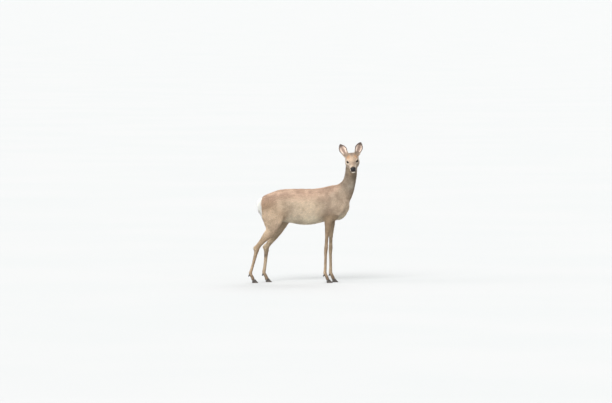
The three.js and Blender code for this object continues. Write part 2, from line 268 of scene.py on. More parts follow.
def remeshed(bm: bmesh.types.BMesh, voxel: float) -> bpy.types.Mesh:
    """Fuse the shells in a bmesh into one even skin of square faces.

    Args:
        bm: The shells, which are freed here.
        voxel: Size of the squares in metres.

    Returns:
        The new mesh.
    """
    carrier = new_object(meshed(bm, "rough"))
    fuse = carrier.modifiers.new("fuse", "REMESH")
    fuse.mode = "VOXEL"
    fuse.voxel_size = voxel
    return settled(carrier)


def settled(carrier: bpy.types.Object) -> bpy.types.Mesh:
    """Take the mesh that an object's modifiers make, and remove the object.

    Args:
        carrier: The object.

    Returns:
        The mesh.
    """
    graph = bpy.context.evaluated_depsgraph_get()
    mesh = bpy.data.meshes.new_from_object(carrier.evaluated_get(graph))
    before = carrier.data
    bpy.data.objects.remove(carrier)
    bpy.data.meshes.remove(before)
    return mesh


def thinned(mesh: bpy.types.Mesh, keep: float, broad: np.ndarray) -> bpy.types.Mesh:
    """Join small faces into larger even ones where the forms are broad.

    Args:
        mesh: The fine mesh, which is removed here.
        keep: The share of all its triangles that is left.
        broad: Which points may go.

    Returns:
        The thinner mesh.
    """
    carrier = new_object(mesh)
    carrier.vertex_groups.new(name="broad").add(np.flatnonzero(broad).tolist(), 0.5, "REPLACE")
    thin = carrier.modifiers.new("thin", "DECIMATE")
    thin.ratio = keep
    thin.vertex_group = "broad"
    return settled(carrier)


def finer(mesh: bpy.types.Mesh, wanted: np.ndarray) -> None:
    """Halve the faces whose every corner is wanted.

    Args:
        mesh: The mesh, changed in place.
        wanted: Which points are in the finer part.
    """
    bm = bmesh.new()
    bm.from_mesh(mesh)
    chosen = {edge for face in bm.faces if all(wanted[v.index] for v in face.verts) for edge in face.edges}
    bmesh.ops.subdivide_edges(bm, edges=list(chosen), cuts=1, use_grid_fill=True)
    bmesh.ops.triangulate(bm, faces=[face for face in bm.faces if len(face.verts) > 4])
    bm.to_mesh(mesh)
    bm.free()


def finish_piece(piece: bpy.types.Object, material: bpy.types.Material, slot: str, *nodes: str) -> None:
    """Dress a piece, put it on the model and log it.

    Args:
        piece: The finished object.
        material: Its only material.
        slot: The record's material slot; it is not used.
        nodes: The frame's nodes that it stands for.
    """
    piece.data.materials.clear()
    piece.data.materials.append(material)
    piece.data.shade_smooth()
    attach(piece, "root")
    if nodes:
        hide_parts(*nodes)
    log.info("%s: %d points, %d faces", piece.name, len(piece.data.vertices), len(piece.data.polygons))


# ---------------------------------------------------------------- shader graphs

class Wire:
    """One output of a shader graph. Arithmetic on it adds Math nodes."""

    def __init__(self, graph: "Graph", socket: bpy.types.NodeSocket) -> None:
        """Hold an output socket and the graph that it is in."""
        self.graph = graph
        self.socket = socket

    def math(self, operation: str, *values: "Wire | float") -> "Wire":
        """Add a Math node whose inputs are these values."""
        return self.graph.node("ShaderNodeMath", {"operation": operation}, dict(enumerate(values)))

    def __add__(self, other: "Wire | float") -> "Wire":
        """Add."""
        return self.math("ADD", self, other)

    __radd__ = __add__

    def __mul__(self, other: "Wire | float") -> "Wire":
        """Multiply."""
        return self.math("MULTIPLY", self, other)

    __rmul__ = __mul__

    def __sub__(self, other: "Wire | float") -> "Wire":
        """Subtract."""
        return self.math("SUBTRACT", self, other)

    def __rsub__(self, other: "Wire | float") -> "Wire":
        """Subtract this from a number."""
        return self.math("SUBTRACT", other, self)

    def __truediv__(self, other: "Wire | float") -> "Wire":
        """Divide."""
        return self.math("DIVIDE", self, other)

    def __rtruediv__(self, other: "Wire | float") -> "Wire":
        """Divide a number by this."""
        return self.math("DIVIDE", other, self)

    def __pow__(self, other: "Wire | float") -> "Wire":
        """Raise to a power."""
        return self.math("POWER", self, other)

    def __rpow__(self, other: "Wire | float") -> "Wire":
        """Raise a number to this power."""
        return self.math("POWER", other, self)

    def rise(self, low: float, high: float) -> "Wire":
        """Go smoothly from 0 at low to 1 at high."""
        return self.graph.node("ShaderNodeMapRange", {"interpolation_type": "SMOOTHSTEP"},
                               {"Value": self, "From Min": low, "From Max": high})


class Graph:
    """The nodes of one material, with a Principled shader for its surface."""

    def __init__(self, name: str) -> None:
        """Start a material that holds only its output and its surface shader.

        Args:
            name: The material's name.
        """
        self.material = bpy.data.materials.new(name)
        self.material.use_nodes = True
        self.nodes = self.material.node_tree.nodes
        self.links = self.material.node_tree.links
        self.shader = self.nodes["Principled BSDF"]

    def node(self, kind: str, settings: dict | None = None, inputs: dict | None = None,
             output: int | str = 0) -> Wire:
        """Add any node.

        Args:
            kind: The node's type.
            settings: Its properties, set first.
            inputs: Values or wires, by the sockets' names or numbers.
            output: The name or number of the output that is wanted.

        Returns:
            That output as a wire.
        """
        made = self.nodes.new(kind)
        for key, value in (settings or {}).items():
            setattr(made, key, value)
        for key, value in (inputs or {}).items():
            self.feed(made.inputs[key], value)
        return Wire(self, made.outputs[output])

    def feed(self, socket: bpy.types.NodeSocket, value: object) -> None:
        """Link a wire to a socket, or set the socket's own value.

        Args:
            socket: An input.
            value: A wire, a number or a colour.
        """
        if isinstance(value, Wire):
            self.links.new(value.socket, socket)
        elif isinstance(value, (tuple, list, np.ndarray)) and socket.type == "RGBA":
            socket.default_value = (*[float(v) for v in value], 1)
        else:
            socket.default_value = value

    def mix(self, first: object, second: object, share: object, how: str = "MIX") -> Wire:
        """Mix two colours by a share."""
        return self.node("ShaderNodeMix", {"data_type": "RGBA", "blend_type": how},
                         {0: share, 6: first, 7: second}, output=2)

    def place(self) -> Wire:
        """Give the point's own place in the model."""
        return self.node("ShaderNodeTexCoord", output="Object")

    def stretched(self, turn: tuple, scale: tuple) -> Wire:
        """Give the point's place, turned and scaled for a drawn-out pattern."""
        return self.node("ShaderNodeMapping", None,
                         {"Vector": self.place(), "Rotation": turn, "Scale": scale})

    def noise(self, scale: float, detail: float = 2, where: Wire | None = None) -> Wire:
        """Add cloudy noise of about 0.5, with so many clouds in a metre."""
        return self.node("ShaderNodeTexNoise", None,
                         {"Vector": where or self.place(), "Scale": scale, "Detail": detail}, output="Fac")

    def bump(self, height: Wire, depth: float) -> Wire:
        """Turn a height into a bent normal, with its depth in metres."""
        return self.node("ShaderNodeBump", None, {"Height": height, "Distance": depth, "Strength": 1})

    def surface(self, **values: object) -> bpy.types.Material:
        """Set the shader's sockets, with _ for a space in each name, and give the material.

        Args:
            values: Wires or values, by the sockets' names.

        Returns:
            The material.
        """
        for name, value in values.items():
            self.feed(self.shader.inputs[name.replace("_", " ")], value)
        return self.material


@dataclass(frozen=True)
class Hair:
    """Hair of the coat, coloured by the markings that its mesh carries, with the moult's loose mottling."""

    name: str
    streak: float = 420.0
    roughness: float = 0.82
    mottle: float = 1.0
    leather: bool = False

    def colour(self, graph: Graph) -> Wire:
        """Mix the markings with patches of the moult and grizzled speckle.

        Args:
            graph: The material's graph.

        Returns:
            The colour.
        """
        marks = graph.node("ShaderNodeAttribute", {"attribute_name": "markings"}, output="Color")
        patch = graph.noise(17, 4).rise(0.4, 0.64)
        darker = graph.mix(marks, (0.66, 0.62, 0.6), 1.0, "MULTIPLY")
        marks = graph.mix(marks, darker, patch * (0.68 * self.mottle))
        drawn = graph.noise(1, 3, graph.stretched((0, 0.3, 0), (30, 60, 95))).rise(0.35, 0.7)
        marks = graph.mix(marks, graph.mix(marks, (1.14, 1.12, 1.1), 1.0, "MULTIPLY"), drawn * 0.6)
        speck = graph.noise(self.streak, 1).rise(0.35, 0.65)
        darker = graph.mix(marks, (0.78, 0.77, 0.76), 1.0, "MULTIPLY")
        return graph.mix(marks, darker, speck * (0.55 * self.mottle))

    def make(self) -> bpy.types.Material:
        """Build the material; the skin's own also has bare leather where its mask says so.

        Returns:
            The material.
        """
        graph = Graph(self.name)
        graph.shader.inputs["Sheen Weight"].default_value = 0.08
        graph.shader.inputs["Specular IOR Level"].default_value = 0.25
        colour = self.colour(graph)
        if not self.leather:
            return graph.surface(Base_Color=colour, Roughness=self.roughness)
        bare = graph.node("ShaderNodeAttribute", {"attribute_name": "leather"}, output="Fac")
        plain = graph.node("ShaderNodeAttribute", {"attribute_name": "markings"}, output="Color")
        cobbles = graph.node("ShaderNodeTexVoronoi", {"feature": "SMOOTH_F1"},
                             {"Vector": graph.place(), "Scale": 900.0}, output="Distance")
        fine = graph.noise(1300, 2)
        height = (1 - cobbles) * bare + fine * (1 - bare)
        return graph.surface(Base_Color=graph.mix(colour, plain, bare), Roughness=0.85 - bare * 0.42,
                             Normal=graph.bump(height, 0.25 * MM))


@dataclass(frozen=True)
class EyeGlaze:
    """The wet eye: a dark brown iris with a wide lying pupil, darker towards its rim."""

    name: str = "eye_glaze"
    iris: float = 0.74
    pupil_width: float = 0.46
    pupil_height: float = 0.24

    def make(self) -> bpy.types.Material:
        """Build the material from the eye's own map, which has its middle at the pupil.

        Returns:
            The material.
        """
        graph = Graph(self.name)
        spot = graph.node("ShaderNodeUVMap", {"uv_map": "gaze"})
        across, up = ((graph.node("ShaderNodeSeparateXYZ", None, {0: spot}, axis) - 0.5) * 2
                      for axis in (0, 1))
        out = (across * across + up * up) ** 0.5
        slot = ((across.math("ABSOLUTE", across) / self.pupil_width) ** 2.6
                + (up.math("ABSOLUTE", up) / self.pupil_height) ** 2.6).rise(1.2, 0.85)
        rays = graph.noise(1, 3, graph.node("ShaderNodeCombineXYZ", None, {
            0: up.math("ARCTAN2", up, across) * 9, 1: out * 3}))
        brown = graph.mix(rgb(30, 19, 13), rgb(62, 40, 26), rays.rise(0.3, 0.75))
        brown = graph.mix(brown, rgb(14, 9, 7), out.rise(self.iris * 0.6, self.iris))
        white = graph.mix(brown, rgb(24, 17, 14), out.rise(self.iris, self.iris + 0.08))
        graph.shader.inputs["IOR"].default_value = 1.36
        return graph.surface(Base_Color=graph.mix(white, rgb(5, 4, 5), slot), Roughness=0.1)


@dataclass(frozen=True)
class Horn:
    """Horn of the hooves: nearly black, with growth lines and pale scuffs towards the ground."""

    name: str = "hoof_horn"

    def make(self) -> bpy.types.Material:
        """Build the material.

        Returns:
            The material.
        """
        graph = Graph(self.name)
        lines = graph.noise(1, 2, graph.stretched((0, 0, 0), (40, 40, 620)))
        cloud = graph.noise(160, 3)
        colour = graph.mix(rgb(38, 33, 30), rgb(84, 74, 64), (lines * 0.5 + cloud * 0.5).rise(0.42, 0.68))
        height = graph.node("ShaderNodeSeparateXYZ", None, {0: graph.place()}, output=2)
        scuffs = height.rise(7 * MM, 0.0) * cloud.rise(0.4, 0.7) * 0.7
        colour = graph.mix(colour, rgb(120, 108, 94), scuffs)
        return graph.surface(Base_Color=colour, Roughness=0.38 + cloud * 0.25,
                             Normal=graph.bump(lines, 0.4 * MM))


@dataclass(frozen=True)
class Paint:
    """A plain finish with a faint cloud in it, for the lashes, whiskers and floor."""

    name: str
    dark: tuple
    light: tuple
    scale: float
    roughness: float

    def make(self) -> bpy.types.Material:
        """Build the material.

        Returns:
            The material.
        """
        graph = Graph(self.name)
        cloud = graph.noise(self.scale, 2).rise(0.3, 0.7)
        return graph.surface(Base_Color=graph.mix(rgb(*self.dark), rgb(*self.light), cloud),
                             Roughness=self.roughness)


# ---------------------------------------------------------------- places on the body

@dataclass
class HeadPlace:
    """Axes of the head in mm: x towards the nose, y to her left and z to the crown."""

    nose_drop: float = 15.8  # degrees that the nose lies below the head's own x axis
    eye_ahead: float = 4.0
    eye_above: float = 2.0

    def __post_init__(self) -> None:
        """Work out the axes from the boxes of the eyes and the nose."""
        right, left, nose = (np.array(sum(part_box(node), Vector()) / 2)
                             for node in ("eye_right", "eye_left", "nose"))
        middle = (right + left) / 2
        side = (left - right) / np.linalg.norm(left - right)
        ahead = square(nose - middle, side)
        up = np.cross(ahead, side)
        turn = math.radians(self.nose_drop)
        forward = ahead * math.cos(turn) + up * math.sin(turn)
        self.axes = np.array([forward, side, np.cross(forward, side)])
        self.origin = middle - (self.axes[0] * self.eye_ahead + self.axes[2] * self.eye_above) * MM

    def local(self, points: np.ndarray) -> np.ndarray:
        """Turn places in the model into places on the head."""
        return (points - self.origin) @ self.axes.T / MM

    def world(self, points: np.ndarray) -> np.ndarray:
        """Turn places on the head into places in the model."""
        return points @ self.axes * MM + self.origin

    def aim(self, directions: np.ndarray) -> np.ndarray:
        """Turn directions on the head into directions in the model."""
        return directions @ self.axes


HEAD = HeadPlace()
MIDDLE_Y = float(sum(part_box("tail"), Vector()).y / 2)
RUMP_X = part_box("trunk")[0].x
BACK_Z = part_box("trunk")[1].z


class OnHead:
    """Axes of one part of the head, in mm of the head's own axes."""

    origin: np.ndarray
    axes: np.ndarray

    def local(self, spots: np.ndarray) -> np.ndarray:
        """Turn places on the head into places on the part."""
        return (spots - self.origin) @ self.axes.T

    def world(self, own: np.ndarray) -> np.ndarray:
        """Turn places on the part into places in the model."""
        return HEAD.world(own @ self.axes + self.origin)


@dataclass
class EarPlace(OnHead):
    """Axes of one ear in mm: x across the leaf, y out of its cup and z from root to tip."""

    side: int
    root: tuple = (-38, 31, 19)
    tip: tuple = (-0.8, 0.33, 0.5)
    facing: tuple = (0.5, 0.26, 0.8)
    length: float = 132.0
    leaf_shares: tuple = (0, 0.28, 0.62, 0.79, 0.92, 1)
    leaf_halves: tuple = (15, 20, 30.5, 25, 16, 8.5)

    def __post_init__(self) -> None:
        """Work out the axes on the head."""
        flip = np.array([1, self.side, 1])
        tip = self.tip * flip / np.linalg.norm(self.tip)
        facing = square(self.facing * flip, tip)
        self.axes = np.array([np.cross(facing, tip), facing, tip])
        self.origin = np.array(self.root) * flip

    def reach(self, own: np.ndarray) -> np.ndarray:
        """Tell how far across the leaf each place is, as a share of its half width there."""
        half = np.interp(own[:, 2] / self.length, self.leaf_shares, self.leaf_halves)
        return np.abs(own[:, 0]) / half

    def on_root(self, spots: np.ndarray) -> np.ndarray:
        """Tell how much each place on the head is on the ear's root, where the leaf closes into a tube.

        Args:
            spots: Places on the head.

        Returns:
            From 0 to 1 for each place.
        """
        across, out, up = self.local(spots).T
        return (ramp(up, 8, 16) * ramp(up, 62, 46) * ramp(np.abs(across), 32, 26)
                * ramp(out, -34, -28) * ramp(out, 12, 6))


EARS = (EarPlace(-1), EarPlace(1))


class Region(Enum):
    """Stretches of the body that wear their own coat, with the starts of their nodes' names."""

    TRUNK = ("trunk",)
    NECK = ("neck",)
    HEAD = ("head", "lower_jaw", "nose")
    EAR = ("ear_",)
    THIGH = ("thigh_",)
    FOREARM = ("forearm_",)
    SHANK = ("cannon_", "pastern_")
    TAIL = ("tail",)

    @property
    def column(self) -> int:
        """Give the region's column in a table of shares."""
        return list(Region).index(self)

    def nodes(self) -> list[str]:
        """List the nodes of this region."""
        return [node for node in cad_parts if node.startswith(self.value)]


FLESH = [node for region in Region for node in region.nodes()]


@dataclass(frozen=True)
class Pelt:
    """Coat of one region in mm: its depth on the skin, its tufts' length and width, and tufts in 1 cm2."""

    depth: float
    length: float
    width: float
    crowd: float


PELTS = {
    Region.TRUNK: Pelt(5.0, 20, 1.9, 16),
    Region.NECK: Pelt(4.0, 15, 1.5, 29),
    Region.HEAD: Pelt(1.6, 6.5, 0.85, 62),
    Region.EAR: Pelt(0.8, 5.5, 0.7, 62),
    Region.THIGH: Pelt(3.8, 15, 1.8, 16),
    Region.FOREARM: Pelt(2.6, 9.5, 1.3, 30),
    Region.SHANK: Pelt(1.5, 6.5, 0.95, 50),
    Region.TAIL: Pelt(8, 26, 2.1, 20),
}
RUMP_PELT = Pelt(10, 30, 2.2, 22)
NAPE_PELT = Pelt(3.0, 12, 1.3, 32)


class Body:
    """Fields over the whole body: which region a point is in, its coat and its lie."""

    def __init__(self) -> None:
        """Index the flesh's triangles by region."""
        corners, faces, owners = [], [], []
        for region in Region:
            for node in region.nodes():
                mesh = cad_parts[node].data
                base = len(corners)
                corners += [vertex.co.copy() for vertex in mesh.vertices]
                faces += [[base + corner for corner in face.vertices] for face in mesh.polygons]
                owners += [region.column] * len(mesh.polygons)
        self.owners = owners
        self.tree = BVHTree.FromPolygons(corners, faces)

    def shares(self, surface: Surface, rounds: int) -> np.ndarray:
        """Tell how much each point belongs to each region.

        Args:
            surface: The points.
            rounds: How far the regions melt into each other.

        Returns:
            A row for each point, with a share for each region.
        """
        found = [self.owners[self.tree.find_nearest(point)[2]] for point in surface.points]
        return surface.soften(np.eye(len(Region))[found], rounds)

    def height(self, points: np.ndarray) -> np.ndarray:
        """Measure in mm how far each point is outside the flesh, or inside it where that is negative.

        Args:
            points: Places in the model.

        Returns:
            Heights in mm.
        """
        rows = [self.tree.find_nearest(point) for point in points]
        foot, normal = (np.array([row[part] for row in rows]) for part in (0, 1))
        return ((points - foot) * normal).sum(1) / MM

    def rump(self, points: np.ndarray) -> np.ndarray:
        """Tell how much each point is in the white patch round the tail: a heart with its point upwards.

        Args:
            points: Places in the model.

        Returns:
            From 0 to 1 for each point.
        """
        spot = (points - [0, MIDDLE_Y, 0.548]) / [1, 0.078, 0.086]
        wide = np.abs(spot[:, 1]) * (1 + 0.26 * np.clip(spot[:, 2], -1, 1))
        out = np.hypot(wide, spot[:, 2] + 0.16 * wide)
        return ramp(out, 1.06, 0.9) * ramp(points[:, 0], RUMP_X + 0.058, RUMP_X + 0.034)

    def pelt(self, points: np.ndarray, shares: np.ndarray) -> np.ndarray:
        """Work out the coat of each point: depth, length, width and crowd, in the Pelt's units.

        Args:
            points: Places in the model.
            shares: Each point's share of each region.

        Returns:
            A row for each point.
        """
        coat = shares @ np.array([astuple(PELTS[region]) for region in Region])
        ahead = HEAD.local(points)[:, 0]
        on_head = shares[:, Region.HEAD.column]
        for pelt, share in ((RUMP_PELT, self.rump(points)), (NAPE_PELT, on_head * ramp(ahead, -30, -75))):
            coat = coat * (1 - share[:, None]) + np.outer(share, astuple(pelt))
        muzzle = on_head * ramp(ahead, 20, 85)
        thigh = shares[:, Region.THIGH.column] * ramp(points[:, 2], 0.42, 0.3)
        foot = shares[:, Region.SHANK.column] * ramp(points[:, 2], 0.10, 0.05)
        coat *= 1 + np.outer(muzzle, [-0.45, -0.4, -0.25, 0.2])
        coat *= 1 + np.outer(thigh, [-0.45, -0.4, -0.3, 0.3])
        return coat * (1 + np.outer(foot, [-0.2, -0.1, -0.1, 0.1]))

    def lie(self, points: np.ndarray, shares: np.ndarray, normals: np.ndarray) -> np.ndarray:
        """Work out which way the hair lies at each point.

        Args:
            points: Places in the model.
            shares: Each point's regions.
            normals: The way out of the skin.

        Returns:
            Directions along the skin, of length 1.
        """
        x, _, z = points.T
        drop = 0.15 + 0.55 * ramp(z, BACK_Z, BACK_Z - 0.2)
        drop += 1.6 * ramp(x, 0.2, 0.32) + 1.2 * ramp(x, -0.2, -0.3)
        trunk = np.stack([-np.ones_like(x), 0 * x, -drop], 1)
        fan = points - [0, MIDDLE_Y, 0.612]
        trunk = blend(trunk, unit(fan * [0, 1, 1]) + [-0.3, 0, -0.4], self.rump(points))
        _, across, up = HEAD.local(points).T
        face = np.stack([-np.ones_like(x), np.sign(across) * 0.25 * ramp(np.abs(across), 2, 14),
                         0.15 - 0.35 * ramp(up, 0, -30)], 1)
        ears = np.where((across > 0)[:, None], EARS[1].axes[2], EARS[0].axes[2])
        down = np.array([[-0.12, 0, -1.0]])
        thigh = [-0.4, 0, -1.0] + np.outer(ramp(z, 0.32, 0.26), [0.4, 0, 0])
        ways = {Region.TRUNK: trunk, Region.NECK: np.array([[-0.25, 0.22, -1.0]]),
                Region.HEAD: HEAD.aim(face), Region.EAR: HEAD.aim(ears), Region.THIGH: thigh,
                Region.FOREARM: down, Region.SHANK: down, Region.TAIL: np.array([[-0.25, 0, -1.0]])}
        total = sum(shares[:, [region.column]] * unit(ways[region]) for region in Region)
        return laid(total, normals)


BODY = Body()


# ---------------------------------------------------------------- markings

@dataclass(frozen=True)
class Mark:
    """A soft patch of one screen colour, with its strength, its place and its radii; most are markings of the
    hair, some are painted light and shade.
    """

    colour: tuple
    strength: float
    place: tuple
    radii: tuple


TRUNK_MARKS = (
    Mark((128, 106, 85), 0.6, (0.19, MIDDLE_Y, 0.5), (0.055, 0.4, 0.05)),  # elbow: painted shade where the foreleg meets the trunk
    Mark((140, 117, 94), 0.6, (-0.128, MIDDLE_Y, 0.5), (0.034, 0.4, 0.07)),  # groin: painted shade in the fold between flank and thigh
    Mark((226, 207, 182), 0.85, (0.29, MIDDLE_Y, 0.52), (0.05, 0.4, 0.06)),  # breast: pale hair, lightened further as painted light on the chest
)
NECK_MARKS = (
    Mark((116, 103, 84), 0.7, (0.350, -0.01, 0.768), (0.032, 0.04, 0.022)),  # below the chin: painted shade
    Mark((222, 213, 196), 0.85, (0.340, -0.01, 0.710), (0.026, 0.045, 0.022)),  # bib
)
FACE_MARKS = (
    Mark((206, 179, 152), 0.8, (18, 0, 32), (30, 24, 30)),  # forehead
    Mark((112, 93, 77), 0.8, (-30, 0, 46), (30, 17, 24)),  # crown
    Mark((190, 141, 95), 0.85, (-18, 27, 31), (20, 14, 19)),  # brow
    Mark((187, 177, 160), 0.75, (-20, 48, -34), (34, 22, 30)),  # cheek
    Mark((132, 112, 92), 0.6, (58, 0, 14), (26, 9, 14)),  # bridge of the nose
    Mark((205, 193, 176), 0.7, (66, 22, -16), (20, 12, 14)),  # side of the muzzle
)
TEAR_MARK = Mark((66, 52, 42), 0.7, (24, 29, -7), (7, 6, 3.5))
LIP_MARK = Mark((238, 233, 222), 0.95, (92, 18, -34), (9, 8, 7))


def marked(colours: np.ndarray, points: np.ndarray, marks: tuple | list) -> np.ndarray:
    """Lay soft patches over the colours of points, in their order.

    Args:
        colours: The points' colours.
        points: Their places, on the marks' axes.
        marks: The patches.

    Returns:
        The new colours.
    """
    for mark in marks:
        colours = blend(colours, rgb(*mark.colour), blob(points, mark.place, mark.radii) * mark.strength)
    return colours


@dataclass
class Markings:
    """The colours of skin and coat at points of the body, from their places, regions and normals, with some
    painted light and shade among them.
    """

    points: np.ndarray
    shares: np.ndarray
    normals: np.ndarray

    def colours(self) -> np.ndarray:
        """Colour each point of the coat and skin, in linear light.

        Returns:
            A colour for each point.
        """
        legs = self.leg()
        ways = {Region.TRUNK: self.trunk(), Region.NECK: self.neck(), Region.HEAD: self.head(),
                Region.EAR: self.ear(), Region.THIGH: legs, Region.FOREARM: legs, Region.SHANK: legs,
                Region.TAIL: rgb(246, 243, 234)}
        total = sum(self.shares[:, [region.column]] * ways[region] for region in Region)
        return blend(total, rgb(247, 245, 238), BODY.rump(self.points))

    def trunk(self) -> np.ndarray:
        """Colour the trunk: painted warm rim light along the back, pale on the flank, greyer at the shoulder,
        cream below, with painted shade at the elbow and groin.

        Returns:
            A colour for each point.
        """
        points, normals = self.points, self.normals
        x, _, height = points.T
        flank = ramp(height, 0.43, 0.5) * ramp(height, 0.66, 0.56)
        flank *= ramp(x, -0.22, -0.08) * ramp(x, 0.2, 0.06)
        colour = blend(rgb(196, 174, 150), rgb(212, 195, 171), flank * 0.85)
        colour = blend(colour, rgb(182, 164, 144), ramp(x, 0.05, 0.2) * 0.75)
        colour = blend(colour, rgb(182, 151, 122), ramp(x, -0.17, -0.28) * 0.75)
        # Painted rim light: where the top of the back faces up, the hair is made warmer and pinker.
        back = ramp(normals[:, 2], 0.15, 0.75) * ramp(height, 0.55, 0.62)
        colour = blend(colour, rgb(197, 169, 148), back * 0.85)
        spine = ramp(np.abs(points[:, 1] - MIDDLE_Y), 0.035, 0.008) * ramp(height, 0.58, 0.63)
        colour = blend(colour, rgb(160, 130, 108), spine * 0.5)
        colour = marked(colour, points, TRUNK_MARKS)
        belly = ramp(normals[:, 2], -0.1, -0.7) * ramp(height, 0.54, 0.47)
        return blend(colour, rgb(232, 220, 196), belly * 0.85)

    def neck(self) -> np.ndarray:
        """Colour the neck: grey brown, with painted shade under the chin and a pale bib below that.

        Returns:
            A colour for each point.
        """
        throat = ramp(self.normals @ np.array([0.75, -0.65, 0.1]), 0.35, 0.9)
        colour = blend(rgb(158, 142, 124), rgb(172, 157, 138), throat * 0.6)
        return marked(colour, self.points, NECK_MARKS)

    def head(self) -> np.ndarray:
        """Colour the head: grey brown face, rusty brows, pale eye rings, black moustache, white chin and
        painted shade under the jaw.

        Returns:
            A colour for each point.
        """
        spots = mirrored(HEAD.local(self.points))
        x, y, z = spots.T
        colour = marked(rgb(176, 155, 134), spots, FACE_MARKS)
        eye = np.hypot((x - 6) / 1.15, z - 1)
        ring = ramp(eye, 21, 16) * ramp(eye, 9, 12) * ramp(y, 20, 28) * (0.25 + 0.75 * ramp(z, 8, -4))
        colour = blend(colour, rgb(222, 210, 192), ring * 0.8)
        colour = marked(colour, spots, [TEAR_MARK])
        # Painted shade under the jaw: the lowest part of the head is made darker brown.
        colour = blend(colour, rgb(142, 126, 102), ramp(z, -50, -62) * 0.8)
        white = ramp(z, -40, -47) * ramp(x, 40, 62)
        colour = marked(blend(colour, rgb(240, 236, 222), white * 0.95), spots, [LIP_MARK])
        dark = ramp(x, 92, 98) * ramp(z, -42, -38) * ramp(y, 21, 15)
        dark += blob(spots, (90, 21, -40), (13, 8, 4)) * 0.8
        return blend(colour, rgb(34, 28, 26), np.clip(dark, 0, 1) * 0.93)

    def ear(self) -> np.ndarray:
        """Colour the ears: grey brown backs, pale inside with painted shade down the middle of the cup, and a
        dark rim and tip.

        Returns:
            A colour for each point.
        """
        spots = HEAD.local(self.points)
        left = spots[:, 1] > 0
        turned = HEAD.axes @ self.normals.T
        rows = [ear.local(spots) for ear in EARS]
        own = np.where(left[:, None], rows[1], rows[0])
        facing = np.where(left, EARS[1].axes[1] @ turned, EARS[0].axes[1] @ turned)
        reach = EARS[0].reach(own)
        share = own[:, 2] / EARS[0].length
        inside = ramp(facing, 0.05, 0.35)
        colour = blend(rgb(143, 122, 103), rgb(186, 165, 150), inside)
        # Painted shade down the middle of the ear's cup, where it is deepest.
        painted_cup_shade = ramp(np.abs(reach - 0.05), 0.5, 0.05) * ramp(share, 0.95, 0.72)
        colour = blend(colour, rgb(116, 95, 84), inside * painted_cup_shade * 0.8)
        pale = ramp(np.abs(reach - 0.56), 0.24, 0.08) * ramp(share, 0.8, 0.5)
        colour = blend(colour, rgb(224, 208, 194), inside * pale * 0.8)
        colour = blend(colour, rgb(181, 132, 88), ramp(share, 0.3, 0.12) * (1 - inside) * 0.6)
        rim = np.clip(ramp(reach, 0.62, 0.86) * ramp(share, 0.25, 0.5) + ramp(share, 0.74, 0.92), 0, 1)
        return blend(colour, rgb(62, 50, 44), rim * 0.9)

    def leg(self) -> np.ndarray:
        """Colour the legs: brown in front, paler behind and inside, with dark pasterns and hock tufts.

        Returns:
            A colour for each point.
        """
        points, normals = self.points, self.normals
        thigh = ramp(points[:, 2], 0.3, 0.4) * ramp(points[:, 0], 0.0, -0.05)
        colour = blend(rgb(178, 155, 128), rgb(218, 195, 168), thigh * 0.85)
        front = ramp(points[:, 2], 0.4, 0.2) * ramp(normals[:, 0], -0.3, 0.6)
        colour = blend(colour, rgb(154, 128, 101), front)
        inner = ramp((MIDDLE_Y - points[:, 1]) * np.sign(normals[:, 1]), 0.02, 0.05) * np.abs(normals[:, 1])
        colour = blend(colour, rgb(196, 178, 152), np.clip(inner, 0, 1) * 0.7)
        for leg in HIND_LEGS:
            low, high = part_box(f"cannon_{leg}")
            x, y, z = low.x, (low.y + high.y) / 2, high.z
            point = Mark((208, 190, 160), 0.8, (x + 0.024, y, z + 0.004), (0.016, 0.03, 0.022))
            tuft = Mark((92, 68, 50), 0.75, (x + 0.018, y, z - 0.05), (0.02, 0.03, 0.016))
            colour = marked(colour, points, [point, tuft])
        return blend(colour, rgb(104, 86, 70), ramp(points[:, 2], 0.075, 0.035) * 0.7)


# ---------------------------------------------------------------- eyes

@dataclass
class EyePlace(OnHead):
    """One eye: its middle, the way it looks and the almond of its lids, on the head in mm."""

    side: int
    node: str
    gaze: tuple = (0.62, 0.78, 0.05)
    slope: tuple = (0.78, -0.6, -0.16)
    half_width: float = 11.3
    half_top: float = 8.6
    half_base: float = 6.9

    def __post_init__(self) -> None:
        """Work out the axes: x forwards along the slit, y up and z out of the eye."""
        low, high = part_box(self.node)
        self.origin = HEAD.local(np.array([(low + high) / 2]))[0]
        self.radius = (high - low).x / 2 / MM
        out = unit(np.array([self.gaze]))[0] * [1, self.side, 1]
        slit = square(np.array(self.slope) * [1, self.side, 1], out)
        up = np.cross(out, slit)
        self.axes = np.array([slit, up * np.sign(up[2]), out])

    def almond(self, across: np.ndarray, up: np.ndarray) -> np.ndarray:
        """Measure how far out of the lids' opening a place is, with 1 on their edge."""
        half = np.where(up > 0, self.half_top, self.half_base)
        return ((np.abs(across) / self.half_width) ** 1.75 + (np.abs(up) / half) ** 1.75) ** (1 / 1.75)


EYES = (EyePlace(-1, "eye_right"), EyePlace(1, "eye_left"))


